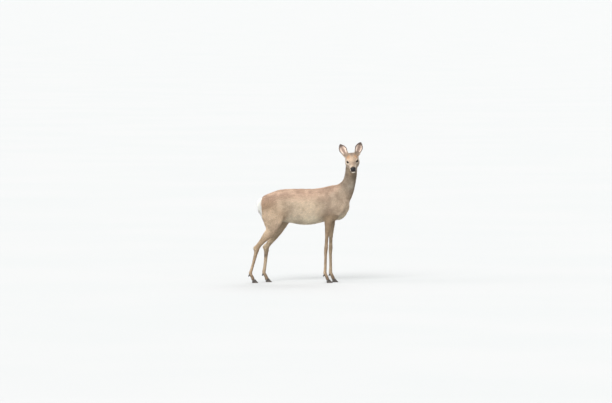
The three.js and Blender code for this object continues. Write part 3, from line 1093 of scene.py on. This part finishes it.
@dataclass
class Eyeball:
    """A wet eyeball with a raised cornea, set in the skin's lids."""

    place: EyePlace
    inset: float = 0.3
    cornea: float = 0.7
    cornea_angle: float = 42.0

    def build(self) -> None:
        """Make the eyeball and dress it."""
        radius = self.place.radius - self.inset
        bm = bmesh.new()
        bmesh.ops.create_uvsphere(bm, u_segments=56, v_segments=40, radius=radius)
        gaze_map = bm.loops.layers.uv.new("gaze")
        for face in bm.faces:
            for loop in face.loops:
                loop[gaze_map].uv = (loop.vert.co.xy / radius + Vector((1, 1))) / 2
        edge = math.cos(math.radians(self.cornea_angle))
        for vert in bm.verts:
            lift = max(0.0, (vert.co.z / radius - edge) / (1 - edge))
            vert.co *= 1 + self.cornea / radius * lift ** 0.6
        own = np.array([vert.co for vert in bm.verts])
        for vert, point in zip(bm.verts, self.place.world(own)):
            vert.co = point
        bmesh.ops.recalc_face_normals(bm, faces=bm.faces)
        piece = new_object(meshed(bm, f"{self.place.node}_ball"))
        finish_piece(piece, EyeGlaze().make(), "eye", self.place.node)


# ---------------------------------------------------------------- skin

@dataclass(frozen=True)
class Form:
    """A muscle, bone or hollow on both sides, with its place, its radii and how far it stands out in mm."""

    name: str
    place: tuple
    radii: tuple
    out: float


BODY_FORMS = (
    Form("point of the hip", (-0.205, 0.085, 0.640), (0.030, 0.035, 0.022), 3.5),
    Form("hollow before the hip", (-0.135, 0.10, 0.610), (0.035, 0.04, 0.03), -3.5),
    Form("fold of the groin", (-0.128, 0.10, 0.520), (0.022, 0.05, 0.05), -6.5),
    Form("stifle", (-0.140, 0.11, 0.466), (0.030, 0.04, 0.034), 4.0),
    Form("haunch", (-0.215, 0.11, 0.548), (0.055, 0.05, 0.055), 3.0),
    Form("hamstring groove", (-0.288, 0.10, 0.460), (0.011, 0.06, 0.09), -4.0),
    Form("shoulder blade", (0.222, 0.06, 0.640), (0.018, 0.05, 0.050), 3.0),
    Form("hollow behind the shoulder", (0.118, 0.09, 0.535), (0.022, 0.05, 0.070), -5.5),
    Form("upper arm", (0.172, 0.08, 0.535), (0.034, 0.05, 0.038), 3.5),
    Form("hollow before the shoulder", (0.262, 0.07, 0.612), (0.017, 0.05, 0.050), -4.0),
    Form("point of the shoulder", (0.268, 0.07, 0.545), (0.022, 0.04, 0.028), 4.5),
    Form("elbow", (0.132, 0.08, 0.487), (0.016, 0.04, 0.020), 3.0),
)
FACE_FORMS = (
    Form("brow", (-3, 35, 18), (13, 8, 5), 1.6),
    Form("cheekbone", (-18, 44, -15), (24, 8, 5), 1.5),
    Form("jaw muscle", (-40, 44, -36), (18, 14, 17), 1.8),
    Form("hollow of the cheek", (-12, 46, -32), (14, 10, 6), -1.6),
    Form("hollow before the eye", (27, 27, -8), (9, 8, 6), -1.3),
    Form("tear pit", (24, 26, -9), (6, 4, 1.6), -0.9),
    Form("bridge of the nose", (52, 12, 3), (30, 5, 6), 0.9),
    Form("hollow of the muzzle", (60, 24, -20), (18, 8, 6), -1.2),
    Form("upper lip", (84, 17, -36), (10, 9, 5), 1.0),
    Form("chin", (84, 8, -52), (12, 8, 5), 1.2),
    Form("inner wing of the nostril", (104, 5, -24), (8, 4, 6), 1.0),
    Form("outer wing of the nostril", (101, 15.5, -20), (8, 4, 7), 0.8),
)
NOSTRILS = (
    Form("nostril", (106, 10.3, -21), (6, 3.0, 3.3), 5.0),
    Form("nostril's slit", (102, 14.5, -17.5), (6, 3.2, 1.7), 3.2),
)


def raised(points: np.ndarray, forms: tuple) -> np.ndarray:
    """Add up how far forms stand out at each point, in mm."""
    return sum(form.out * blob(points, form.place, form.radii) for form in forms)


@dataclass(frozen=True)
class Leather:
    """Outline of the bare nose on the front of the head, in mm: a rounded shield."""

    half_width: float = 21.5
    half_height: float = 15.5
    middle: float = -23.5
    taper: float = 0.62  # loss of half width for each mm below the taper's start
    taper_start: float = -22.0
    power: float = 2.6

    def share(self, x: np.ndarray, y: np.ndarray, z: np.ndarray) -> np.ndarray:
        """Tell how bare each place on the head is.

        Args:
            x: How far forward each place is on the head.
            y: How far from the middle line.
            z: How high.

        Returns:
            From 0 to 1 for each place.
        """
        half = self.half_width - self.taper * np.clip(self.taper_start - z, 0, 30)
        up = np.abs(z - self.middle) / self.half_height
        rim = ((y / half) ** self.power + up ** self.power) ** (1 / self.power)
        return ramp(rim, 1.06, 0.95) * ramp(x, 88, 93)


@dataclass
class Skin:
    """The one skin that closes over the flesh, a coat's depth inside it."""

    voxel: float = 2.6
    keep: float = 0.35  # share of the first fine mesh's triangles that is left
    swell: float = 0.4  # how far the nodes of flesh are grown so that their gaps close
    ear_swell: float = 1.3  # the same on the thin ears
    ear_root: float = 2.6  # how much more at their roots, where the leaf closes into a tube
    ear_edge: float = 0.95  # share of the leaf's half width that its skin keeps to
    ear_depth: float = 0.5
    lid: float = 1.2
    lid_reach: float = 1.3
    lid_zone: float = 9.0  # how far out of the eyeball the lids reach
    socket: float = 2.4  # how far the skin inside the lids is behind the eyeball's surface
    fold: float = 0.7  # depth of the crease above the upper lid
    fold_place: float = 1.42  # where that crease is, with 1 on the lid's edge
    mouth_corner: float = 54.0
    leather: Leather = Leather()

    def build(self) -> None:
        """Fuse, smooth, sink and shape the skin, and dress it."""
        mesh = remeshed(self.shells(), self.voxel * MM)
        mesh = thinned(mesh, self.keep, self.broad(Surface(mesh)))
        self.surface = Surface(mesh)
        self.smooth()
        self.sink()
        finer(mesh, self.near_features(Surface(mesh).points, 18, 82) > 0.5)
        finer(mesh, self.near_lids(Surface(mesh).points))
        surface = self.surface = Surface(mesh)
        surface.fair(2, self.near_features(surface.points, 20, 76) * 0.7)
        surface.relax(26, self.near_features(surface.points, 0, 90))
        surface.write()
        self.shape_face()
        self.shape_body()
        self.open_eyes()
        mesh.name = "deer_skin"
        piece = new_object(mesh)
        self.unwrap(piece)
        self.paint()
        finish_piece(piece, Hair("skin_hair", leather=True).make(), "coat", *FLESH)

    def shells(self) -> bmesh.types.BMesh:
        """Gather the nodes of flesh, each grown a little, with a ball over each eye.

        Returns:
            The closed shells, which overlap.
        """
        whole = bmesh.new()
        for node in FLESH:
            bm = merged_copy(node)
            spots = HEAD.local(np.array([vert.co for vert in bm.verts]))
            root = EARS[0].on_root(spots) + EARS[1].on_root(spots)
            swell = self.ear_swell if node in Region.EAR.nodes() else self.swell
            grown = swell * (1 - root) + (self.ear_swell + self.ear_root) * root
            for vert, out in zip(bm.verts, grown):
                vert.co += vert.normal * float(out) * MM
            part = meshed(bm, "part")
            whole.from_mesh(part)
            bpy.data.meshes.remove(part)
        for eye in EYES:
            middle = Vector(HEAD.world(eye.origin[None])[0])
            bmesh.ops.create_uvsphere(whole, u_segments=32, v_segments=20, matrix=Matrix.Translation(middle),
                                      radius=(eye.radius + self.lid) * MM)
        return whole

    def broad(self, surface: Surface) -> np.ndarray:
        """Tell which points are on neither the head nor the ears."""
        shares = BODY.shares(surface, 4)
        return shares[:, Region.HEAD.column] + shares[:, Region.EAR.column] < 0.4

    def smooth(self) -> None:
        """Take the facets out of the skin, most on the broad forms."""
        surface = self.surface
        looseness = {Region.TRUNK: 1.0, Region.NECK: 0.6, Region.THIGH: 0.55, Region.FOREARM: 0.2,
                     Region.TAIL: 0.6}
        loose = BODY.shares(surface, 8) @ np.array([looseness.get(region, 0.0) for region in Region])
        surface.relax(70, loose)
        surface.fair(8, 0.6 * (1 - loose))
        surface.write()

    def sink(self) -> None:
        """Move the skin in by the coat's depth, and by what its nodes were grown."""
        surface = self.surface
        shares = BODY.shares(surface, 24)
        spots = HEAD.local(surface.points)
        ear = BODY.shares(surface, 1)[:, Region.EAR.column]
        ear = np.clip(ear + EARS[0].on_root(spots) + EARS[1].on_root(spots), 0, 1)
        depth = surface.soften(BODY.pelt(surface.points, shares)[:, 0], 4)
        depth = depth * (1 - ear) + self.ear_depth * ear
        depth *= ramp(surface.points[:, 2], 0.018, 0.045) * 0.8 + 0.2
        proud = surface.soften(BODY.height(surface.points), 24) * (1 - ear) + self.ear_swell * ear
        normals = surface.soften(surface.normals, 3)
        surface.points -= normals * (depth + proud)[:, None] * MM
        self.trim_ears()
        surface.relax(3, np.clip(ear + surface.soften(ear, 12), 0, 1))
        spots = mirrored(HEAD.local(surface.points))
        surface.relax(16, blob(spots, (-46, 33, 24), (24, 20, 22)))
        surface.write()

    def trim_ears(self) -> None:
        """Draw the ears' rims in to a clean outline."""
        surface = self.surface
        spots = HEAD.local(surface.points)
        for ear in EARS:
            own = ear.local(spots)
            reach = ear.reach(own)
            over = (own[:, 2] > 40) & (own[:, 2] < 0.93 * ear.length) & (np.abs(own[:, 1] + 8) < 24)
            over &= (reach > self.ear_edge) & (reach < 1.4)
            own[over, 0] *= self.ear_edge / reach[over]
            surface.points[over] = ear.world(own[over])

    def near_features(self, points: np.ndarray, reach: float, muzzle: float) -> np.ndarray:
        """Tell which points are near the eyes, nose or lips.

        Args:
            points: Places in the model.
            reach: How far from the middle of an eye counts, in mm.
            muzzle: How far forward on the head the nose and lips start to count, in mm.

        Returns:
            From 0 to 1 for each point.
        """
        spots = HEAD.local(points)
        eyes = 0
        for eye in EYES:
            own = eye.local(spots)
            eyes = eyes + ramp(np.linalg.norm(own, axis=1), reach + 2, reach) * ramp(own[:, 2], 0, 3)
        return np.clip(eyes + ramp(spots[:, 0], muzzle, muzzle + 2) * ramp(spots[:, 2], 4, 0), 0, 1)

    def near_lids(self, points: np.ndarray) -> np.ndarray:
        """Tell which points are close to the edges of the lids.

        Args:
            points: Places in the model.

        Returns:
            True for the points that are.
        """
        spots = HEAD.local(points)
        chosen = np.zeros(len(points), dtype=bool)
        for eye in EYES:
            own = eye.local(spots)
            q = eye.almond(own[:, 0], own[:, 1])
            close = np.linalg.norm(own, axis=1) < eye.radius + self.lid_zone
            chosen |= (q > 0.6) & (q < 1.6) & (own[:, 2] > 0) & close
        return chosen

    def push(self, amount: np.ndarray) -> None:
        """Move points out along their normals by an amount in mm."""
        self.surface.points += self.surface.normals * amount[:, None] * MM

    def shape_face(self) -> None:
        """Shape brows, cheekbones, jaw, muzzle, nostrils and mouth."""
        surface = self.surface
        spots = mirrored(HEAD.local(surface.points))
        x, y, z = spots.T
        front = ramp(x, -90, -70) * ramp(x, 160, 130) * ramp(z, -95, -80)
        amount = raised(spots, FACE_FORMS)
        line = -43 - 0.05 * (100 - x) + 2.5 * ramp(x, 66, self.mouth_corner)
        inside = ramp(x, self.mouth_corner, self.mouth_corner + 6) * ramp(y, 34, 30)
        amount -= 2.2 * inside * np.exp(-((z - line) / 1.25) ** 2)
        amount += 0.9 * inside * np.exp(-((z - line - 3.4) / 2.4) ** 2)
        amount -= 1.5 * np.exp(-(y / 1.1) ** 2) * ramp(x, 96, 101) * ramp(z, -20, -26) * ramp(z, -43, -38)
        self.push(amount * front)
        pit = raised(spots, NOSTRILS)
        inwards = -0.35 * np.sign(HEAD.local(surface.points)[:, 1])
        back = HEAD.aim(np.stack([-np.ones_like(x), inwards, 0 * x], 1))
        surface.points += back * (pit * ramp(x, 84, 92))[:, None] * MM
        surface.write()

    def shape_body(self) -> None:
        """Raise the muscles and bones, and press in the grooves of the flanks and legs."""
        surface = self.surface
        amount = np.zeros(len(surface.points))
        for leg in LEGS:
            low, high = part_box(f"cannon_{leg}")
            x, y, z = (low + high) / 2
            for side in (-1, 1):
                amount -= blob(surface.points, (x - 0.001, y + side * 0.012, z), (0.0035, 0.012, 0.05))
                if leg in HIND_LEGS:
                    hollow = (low.x + 0.03, y + side * 0.014, high.z + 0.045)
                    amount -= 2.4 * blob(surface.points, hollow, (0.007, 0.012, 0.026))
        mirror = surface.points * [1, 0, 1] + np.abs(surface.points - [0, MIDDLE_Y, 0]) * [0, 1, 0]
        self.push(amount + raised(mirror, BODY_FORMS))
        surface.write()

    def open_eyes(self) -> None:
        """Part the lids in an almond, with their edges on the eyeball and the skin inside behind it."""
        surface = self.surface
        spots = HEAD.local(surface.points)
        for eye in EYES:
            own = eye.local(spots)
            out = np.linalg.norm(own, axis=1)
            near = (out < eye.radius + self.lid_zone) & (own[:, 2] > 0)
            q = eye.almond(own[:, 0], own[:, 1])
            edge = near & (np.abs(q - 1.0) < 0.05)
            own[edge, :2] /= q[edge, None]
            q[edge] = 1.0
            own = own * (out / np.maximum(np.linalg.norm(own, axis=1), 1e-6))[:, None]
            rim = eye.radius + self.lid
            outside = q >= 0.999
            wanted = np.where(outside, rim, eye.radius - self.socket)
            hold = np.where(outside, ramp(q, self.lid_reach + 0.75, self.lid_reach - 0.15), 1.0)
            target = out + (np.maximum(wanted, 0) - out) * hold
            target = np.where(outside, np.maximum(target, rim - 0.4), target)
            fold = self.fold * np.exp(-((q - self.fold_place) / 0.09) ** 2) * ramp(own[:, 1], -1, 3)
            target = target - fold * outside
            own = own * (target / np.maximum(out, 1e-6))[:, None]
            surface.points[near] = eye.world(own[near])
        surface.write()

    def paint(self) -> None:
        """Store the markings, the bare leather, and what the coat needs at each point."""
        surface = self.surface
        self.shares = BODY.shares(surface, 36)
        spots = HEAD.local(surface.points)
        x, y, z = mirrored(spots).T
        leather = self.leather.share(x, y, z)
        lids = np.zeros(len(x))
        for eye in EYES:
            own = eye.local(spots)
            near = (np.linalg.norm(own, axis=1) < eye.radius + 4) & (own[:, 2] > 0)
            lids = np.maximum(lids, near * ramp(eye.almond(own[:, 0], own[:, 1]), 1.34, 1.16))
        self.bald = np.clip(leather + lids, 0, 1)
        self.colours = Markings(surface.points, self.shares, surface.normals).colours()
        self.colours = blend(self.colours, rgb(24, 21, 22), leather)
        self.colours = blend(self.colours, rgb(34, 26, 22), lids)
        marks = surface.mesh.attributes.new("markings", "FLOAT_COLOR", "POINT")
        marks.data.foreach_set("color", np.c_[self.colours, np.ones(len(x))].ravel())
        surface.mesh.attributes.new("leather", "FLOAT", "POINT").data.foreach_set("value", self.bald)

    def unwrap(self, piece: bpy.types.Object) -> None:
        """Unfold the skin's own shape into the map OFBake.

        Args:
            piece: The skin's object.
        """
        piece.data.uv_layers.new(name="OFBake")
        bpy.context.view_layer.objects.active = piece
        piece.select_set(True)
        bpy.ops.object.mode_set(mode="EDIT")
        bpy.ops.mesh.select_all(action="SELECT")
        bpy.ops.uv.smart_project(angle_limit=1.15, island_margin=0.004)
        bpy.ops.object.mode_set(mode="OBJECT")
        piece.select_set(False)


# ---------------------------------------------------------------- coat

class Cut(Enum):
    """Shapes of a tuft: places along it with the share of its width and its tone there, and its faces."""

    LOCK = (((0.0, 0.8, 0.84), (0.52, 1.0, 0.98), (1.0, 0.0, 1.1)),
            ((0, 2, 1), (0, 1, 4), (0, 4, 3), (1, 2, 5), (1, 5, 4), (2, 0, 3), (2, 3, 5),
             (3, 4, 6), (4, 5, 6), (5, 3, 6)))
    SPIKE = (((0.0, 1.0, 0.93), (1.0, 0.0, 1.06)), ((0, 2, 1), (0, 1, 3), (1, 2, 3), (2, 0, 3)))


@dataclass
class Tufts:
    """Many small solid tufts as one mesh: flat below, ridged above and pointed."""

    roots: np.ndarray
    along: np.ndarray
    out: np.ndarray
    length: np.ndarray
    width: np.ndarray
    rise: np.ndarray
    curl: np.ndarray
    colours: np.ndarray
    spots: np.ndarray
    cut: Cut = Cut.LOCK
    patch: float = 0.0015  # half of a tuft's patch on the map
    sunk: float = 0.8

    def corners(self) -> tuple[np.ndarray, np.ndarray]:
        """Work out the corners of every tuft, and where each is within its patch.

        Returns:
            The corners' places, and their places within the patch from -1 to 1.
        """
        side = np.cross(self.along, self.out)
        rows, places = [], []
        for share, broad, _ in self.cut.value[0]:
            lift = self.rise * (1 - (1 - share) ** 1.7) - self.sunk * (1 - share)
            spine = self.along * (self.length * share)[:, None] + self.out * lift[:, None]
            spine = spine + side * (self.curl * self.length * share * share)[:, None]
            half = (self.width * broad / 2)[:, None]
            if broad:
                rows += [spine - side * half, spine + side * half, spine + self.out * half * 0.7]
                places += [(-1, share * 2 - 1), (1, share * 2 - 1), (0, share * 2 - 1)]
            else:
                rows.append(spine)
                places.append((0, 1))
        return self.roots[:, None] + np.stack(rows, 1) * MM, np.array(places)

    def build(self, name: str) -> bpy.types.Object:
        """Make the mesh, with its markings and its map.

        Args:
            name: The piece's name.

        Returns:
            The piece.
        """
        points, places = self.corners()
        count, each = points.shape[:2]
        faces = np.array(self.cut.value[1])[None] + (np.arange(count) * each)[:, None, None]
        faces = faces.reshape(-1, 3)
        mesh = bpy.data.meshes.new(name)
        mesh.vertices.add(count * each)
        mesh.vertices.foreach_set("co", points.ravel())
        mesh.loops.add(faces.size)
        mesh.loops.foreach_set("vertex_index", faces.ravel())
        mesh.polygons.add(len(faces))
        mesh.polygons.foreach_set("loop_start", np.arange(0, faces.size, 3))
        mesh.update(calc_edges=True)
        depth = np.concatenate([[tone] * (3 if broad else 1) for _, broad, tone in self.cut.value[0]])
        colours = np.clip(self.colours[:, None] * depth[None, :, None], 0, 1)
        colours = np.concatenate([colours, np.ones((count, each, 1))], 2)
        mesh.attributes.new("markings", "FLOAT_COLOR", "POINT").data.foreach_set("color", colours.ravel())
        spots = (self.spots[:, None] + places[None] * self.patch).reshape(-1, 2)
        mesh.uv_layers.new(name="OFBake").data.foreach_set("uv", spots[faces.ravel()].ravel())
        return new_object(mesh)


@dataclass
class Coat:
    """The whole coat, sown over the skin in pieces."""

    skin: Skin
    seed: int = 11
    yaw: float = 0.16
    tone: float = 0.13

    def build(self) -> None:
        """Sow every piece of the coat and dress it."""
        surface = self.skin.surface
        mesh = surface.mesh
        mesh.calc_loop_triangles()
        self.corners = read(mesh.loop_triangles, "vertices", 3, np.int64)
        self.loops = read(mesh.loop_triangles, "loops", 3, np.int64)
        self.map = read(mesh.uv_layers["OFBake"].data, "uv", 2)
        self.pelt = BODY.pelt(surface.points, self.skin.shares)
        lie = surface.soften(BODY.lie(surface.points, self.skin.shares, surface.normals), 10)
        sure = ramp(np.linalg.norm(lie, axis=1), 0.3, 0.9)  # low where the hair parts or meets
        self.pelt[:, 1] *= 0.55 + 0.45 * sure
        self.pelt[:, 3] *= 1.7 - 0.7 * sure
        self.lie = unit(lie)
        a, b, c = (surface.points[self.corners[:, corner]] for corner in range(3))
        area = np.linalg.norm(np.cross(b - a, c - a), axis=1) / 2 * 1e4
        crowd = (self.pelt[:, 3] * (self.skin.bald < 0.35))[self.corners].mean(1)
        middle = (a + b + c) / 3
        self.weights = area * crowd
        plain, white = Hair("coat_hair").make(), Hair("white_hair", mottle=0.15).make()
        for number, (name, (slot, cut, chosen)) in enumerate(self.pieces(middle).items()):
            piece = self.sow(name, cut, chosen, np.random.default_rng(self.seed + number))
            finish_piece(piece, white if slot == "rump" else plain, slot)

    def pieces(self, middle: np.ndarray) -> dict[str, tuple[str, Cut, np.ndarray]]:
        """Share the skin's triangles out among the coat's pieces.

        Args:
            middle: The middle of each triangle.

        Returns:
            For each piece's name, its slot, the cut of its tufts and which triangles it takes.
        """
        region = self.skin.shares[self.corners].mean(1).argmax(1)
        rump = (BODY.rump(middle) > 0.5) | (region == Region.TAIL.column)
        right = middle[:, 1] < MIDDLE_Y
        head_right = HEAD.local(middle)[:, 1] < 0
        found = {"coat_rump": ("rump", Cut.LOCK, rump)}
        for side, here in (("right", right), ("left", ~right)):
            trunk = (region == Region.TRUNK.column) & here & ~rump
            low = middle[:, 2] < 0.56
            found[f"coat_chest_{side}"] = ("coat", Cut.LOCK, trunk & (middle[:, 0] >= 0.04) & low)
            found[f"coat_shoulder_{side}"] = ("coat", Cut.LOCK, trunk & (middle[:, 0] >= 0.04) & ~low)
            found[f"coat_flank_{side}"] = ("coat", Cut.LOCK, trunk & (middle[:, 0] < 0.04) & low)
            found[f"coat_loin_{side}"] = ("coat", Cut.LOCK, trunk & (middle[:, 0] < 0.04) & ~low)
            for part in (Region.THIGH, Region.FOREARM, Region.SHANK):
                cut = Cut.LOCK if part is Region.THIGH else Cut.SPIKE
                legs = (region == part.column) & here & ~rump
                found[f"coat_{part.name.lower()}_{side}"] = ("legs", cut, legs)
        for side, here in (("right", head_right), ("left", ~head_right)):
            found[f"coat_head_{side}"] = ("face", Cut.SPIKE, (region == Region.HEAD.column) & here)
        found["coat_ears"] = ("face", Cut.SPIKE, region == Region.EAR.column)
        found["coat_neck"] = ("coat", Cut.LOCK, (region == Region.NECK.column) & ~rump)
        return found

    def sow(self, name: str, cut: Cut, chosen: np.ndarray, chance: np.random.Generator) -> bpy.types.Object:
        """Set tufts evenly over some of the skin's triangles.

        Args:
            name: The piece's name.
            cut: The shape of its tufts.
            chosen: Which triangles it covers.
            chance: The piece's own random numbers.

        Returns:
            The piece.
        """
        total = np.cumsum(self.weights * chosen)
        count = int(total[-1])
        steps = (np.arange(count) + chance.random(count)) * total[-1] / count
        triangle = np.minimum(np.searchsorted(total, steps), len(total) - 1)
        first, second = chance.random((2, count))
        flip = first + second > 1
        first[flip], second[flip] = 1 - first[flip], 1 - second[flip]
        share = np.stack([1 - first - second, first, second], 1)[:, :, None]
        corner, surface = self.corners[triangle], self.skin.surface

        def at_root(values: np.ndarray) -> np.ndarray:
            """Read the skin's values at the roots."""
            return (values[corner] * share).sum(1)

        out = unit(at_root(surface.normals))
        along = laid(at_root(self.lie), out)
        yaw = chance.normal(0, self.yaw, count)[:, None]
        along = unit(along + np.cross(out, along) * yaw)
        pelt = at_root(self.pelt)
        tone = np.exp(chance.normal(0, self.tone, count))[:, None]
        return Tufts(at_root(surface.points), along, out,
                     length=pelt[:, 1] * chance.uniform(0.72, 1.18, count),
                     width=pelt[:, 2] * chance.uniform(0.75, 1.2, count),
                     rise=pelt[:, 0] * chance.uniform(0.55, 1.0, count),
                     curl=chance.normal(0, 0.08, count),
                     colours=at_root(self.skin.colours) * tone,
                     spots=(self.map[self.loops[triangle]] * share).sum(1), cut=cut).build(name)


# ---------------------------------------------------------------- lashes, whiskers and hooves

@dataclass
class Lashes:
    """The upper lids' lashes, of both eyes."""

    each: int = 44
    length: float = 7.5
    width: float = 0.42
    seed: int = 5

    def build(self) -> None:
        """Set the lashes along the edges of the upper lids."""
        chance = np.random.default_rng(self.seed)
        roots, along, out = [], [], []
        for eye in EYES:
            turn = np.radians(np.linspace(18, 168, self.each))
            ring = np.stack([np.cos(turn) * eye.half_width, np.sin(turn) * eye.half_top], 1)
            ring /= eye.almond(ring[:, 0], ring[:, 1])[:, None] / 1.05
            depth = np.sqrt(np.maximum((eye.radius + 0.9) ** 2 - (ring ** 2).sum(1), 1))
            way = np.stack([ring[:, 0] * 0.06, np.full(self.each, 0.35), np.ones(self.each)], 1)
            way += chance.normal(0, 0.09, way.shape)
            roots.append(eye.world(np.c_[ring, depth]))
            along.append(HEAD.aim(unit(way) @ eye.axes))
            out.append(HEAD.aim(np.tile([0.0, 1.0, 0.0], (self.each, 1)) @ eye.axes))
        along = unit(np.concatenate(along))
        out = laid(np.concatenate(out), along)
        count = len(along)
        piece = Tufts(np.concatenate(roots), along, out, self.length * chance.uniform(0.6, 1.0, count),
                      np.full(count, self.width), np.full(count, 1.4), chance.normal(0, 0.06, count),
                      np.tile(rgb(26, 20, 18), (count, 1)), chance.random((count, 2))).build("lashes")
        finish_piece(piece, Paint("lash_hair", (20, 15, 13), (40, 31, 27), 300, 0.55).make(), "face")


@dataclass
class Whiskers:
    """Fine single hairs on the lips and chin."""

    each: int = 16
    length: float = 24.0
    width: float = 0.32
    spans: tuple = ((72, 102), (12, 26), (-52, -28))  # where they grow on the head, in mm
    seed: int = 9

    def build(self, skin: Skin) -> None:
        """Set whiskers on the skin of the lips and chin, on both sides.

        Args:
            skin: The skin that they stand on.
        """
        chance = np.random.default_rng(self.seed)
        spots = HEAD.local(skin.surface.points)
        chosen = []
        for side in (-1, 1):
            for _ in range(self.each):
                ahead, across, up = (chance.uniform(*span) for span in self.spans)
                aim = np.array([ahead, side * across, up])
                chosen.append(np.linalg.norm(spots - aim, axis=1).argmin())
        roots, out = skin.surface.points[chosen], skin.surface.normals[chosen]
        along = unit(out * 0.9 + HEAD.aim(np.tile([0.15, 0.0, -0.25], (len(chosen), 1))))
        side = unit(np.cross(along, [0.1, 0.2, 1.0]))
        count = len(chosen)
        piece = Tufts(roots, along, np.cross(side, along), self.length * chance.uniform(0.5, 1.0, count),
                      np.full(count, self.width), np.full(count, 0.5), chance.normal(0, 0.12, count),
                      np.tile(rgb(60, 52, 46), (count, 1)), chance.random((count, 2))).build("whiskers")
        finish_piece(piece, Paint("whisker_hair", (52, 44, 38), (120, 108, 96), 200, 0.6).make(), "face")


@dataclass
class Claw:
    """One hoof or dewclaw, made round and ringed from its node."""

    node: str
    voxel: float = 1.1
    rings: float = 3.4  # distance between growth rings
    ring_depth: float = 0.22

    def build(self, material: bpy.types.Material) -> None:
        """Make the claw smooth but for its growth rings, with its sole still flat.

        Args:
            material: Its finish.
        """
        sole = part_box(self.node)[0].z
        mesh = remeshed(merged_copy(self.node), self.voxel * MM)
        surface = Surface(mesh)
        surface.fair(8, ramp(surface.points[:, 2], sole + 0.4 * MM, sole + 2.5 * MM) * 0.9)
        rise = surface.points[:, 2] + 0.25 * surface.points[:, 0]
        wave = np.cos(rise / (self.rings * MM) * 2 * math.pi)
        up = ramp(surface.points[:, 2], sole + 3 * MM, sole + 7 * MM)
        wall = 1 - np.abs(surface.normals[:, 2]) ** 3
        surface.write()
        surface.points -= surface.normals * (self.ring_depth * MM * (1 + wave) / 2 * up * wall)[:, None]
        surface.write()
        mesh.name = f"{self.node}_horn"
        finish_piece(new_object(mesh), material, "horn", self.node)


# ---------------------------------------------------------------- studio

@dataclass
class Studio:
    """Pale floor, soft light and the camera, which looks at her side from far off."""

    distance: float = 40.0
    height_angle: float = 2.4  # degrees above level
    frame_width: float = 4.437  # metres across the picture at the model
    target: tuple = (0.0033, 0.0, 0.591)
    sensor: float = 36.0
    floor: float = 3000.0
    floor_drop: float = 0.3
    lights: tuple = (("key", (-1.2, -3.6, 3.2), 30, 3.7), ("back", (1.4, 3.4, 4.0), 40, 1.5),
                     ("rear", (-4.0, -1.0, 2.5), 40, 1.8))
    sky: tuple = (0.96, 0.98, 1.0, 1)
    sky_strength: float = 0.87

    def build(self) -> None:
        """Set up the floor, the lights, the sky and the camera."""
        self.lay_floor()
        bpy.context.scene.view_settings.view_transform = "Standard"
        for light in self.lights:
            self.hang(*light)
        world = bpy.data.worlds.new("pale_room")
        world.use_nodes = True
        sky = world.node_tree.nodes["Background"]
        sky.inputs["Color"].default_value = self.sky
        sky.inputs["Strength"].default_value = self.sky_strength
        bpy.context.scene.world = world
        self.place_camera()

    def lay_floor(self) -> None:
        """Lay the plain floor just under the soles."""
        bm = bmesh.new()
        bmesh.ops.create_grid(bm, x_segments=1, y_segments=1, size=self.floor,
                              matrix=Matrix.Translation((0, 0, -self.floor_drop * MM)))
        mesh = meshed(bm, "studio_floor")
        mesh.materials.append(Paint("floor_paint", (173, 174, 173), (175, 175, 174), 0.5, 0.9).make())
        new_object(mesh)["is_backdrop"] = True

    def hang(self, name: str, place: tuple, spread: float, power: float) -> None:
        """Hang one far light, spread over an angle, on the side of the model that a place names.

        Args:
            name: The light's name.
            place: The side that it shines from.
            spread: Its width in degrees.
            power: Its strength.
        """
        lamp = bpy.data.lights.new(name, "SUN")
        lamp.angle, lamp.energy = math.radians(spread), power
        holder = bpy.data.objects.new(name, lamp)
        holder.location = place
        holder.rotation_euler = (Vector(self.target) - Vector(place)).to_track_quat("-Z", "Y").to_euler()
        bpy.context.scene.collection.objects.link(holder)

    def place_camera(self) -> None:
        """Put the camera far off at her right side, a little above level."""
        lens = bpy.data.cameras.new("camera")
        lens.sensor_width = self.sensor
        lens.lens = self.sensor * self.distance / self.frame_width
        lens.clip_end = 20000
        turn = math.radians(self.height_angle)
        target = Vector(self.target)
        camera = bpy.data.objects.new("camera", lens)
        camera.location = target + Vector((0, -math.cos(turn), math.sin(turn))) * self.distance
        camera.rotation_euler = (target - camera.location).to_track_quat("-Z", "Y").to_euler()
        bpy.context.scene.collection.objects.link(camera)
        bpy.context.scene.camera = camera


def main() -> None:
    """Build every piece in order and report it."""
    logging.basicConfig(level=logging.INFO, format="%(message)s")
    Studio().build()
    skin = Skin()
    skin.build()
    for place in EYES:
        Eyeball(place).build()
    Coat(skin).build()
    Lashes().build()
    Whiskers().build(skin)
    horn = Horn().make()
    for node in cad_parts:
        if node.startswith(("hoof_", "dewclaw_")):
            Claw(node).build(horn)
    boxes = {"cad": CAD_BOX, "visual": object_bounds()}
    {name: [list(corner) for corner in box] for name, box in boxes.items()}
    log.info("sizes written")


if __name__ == "__main__":
    main()
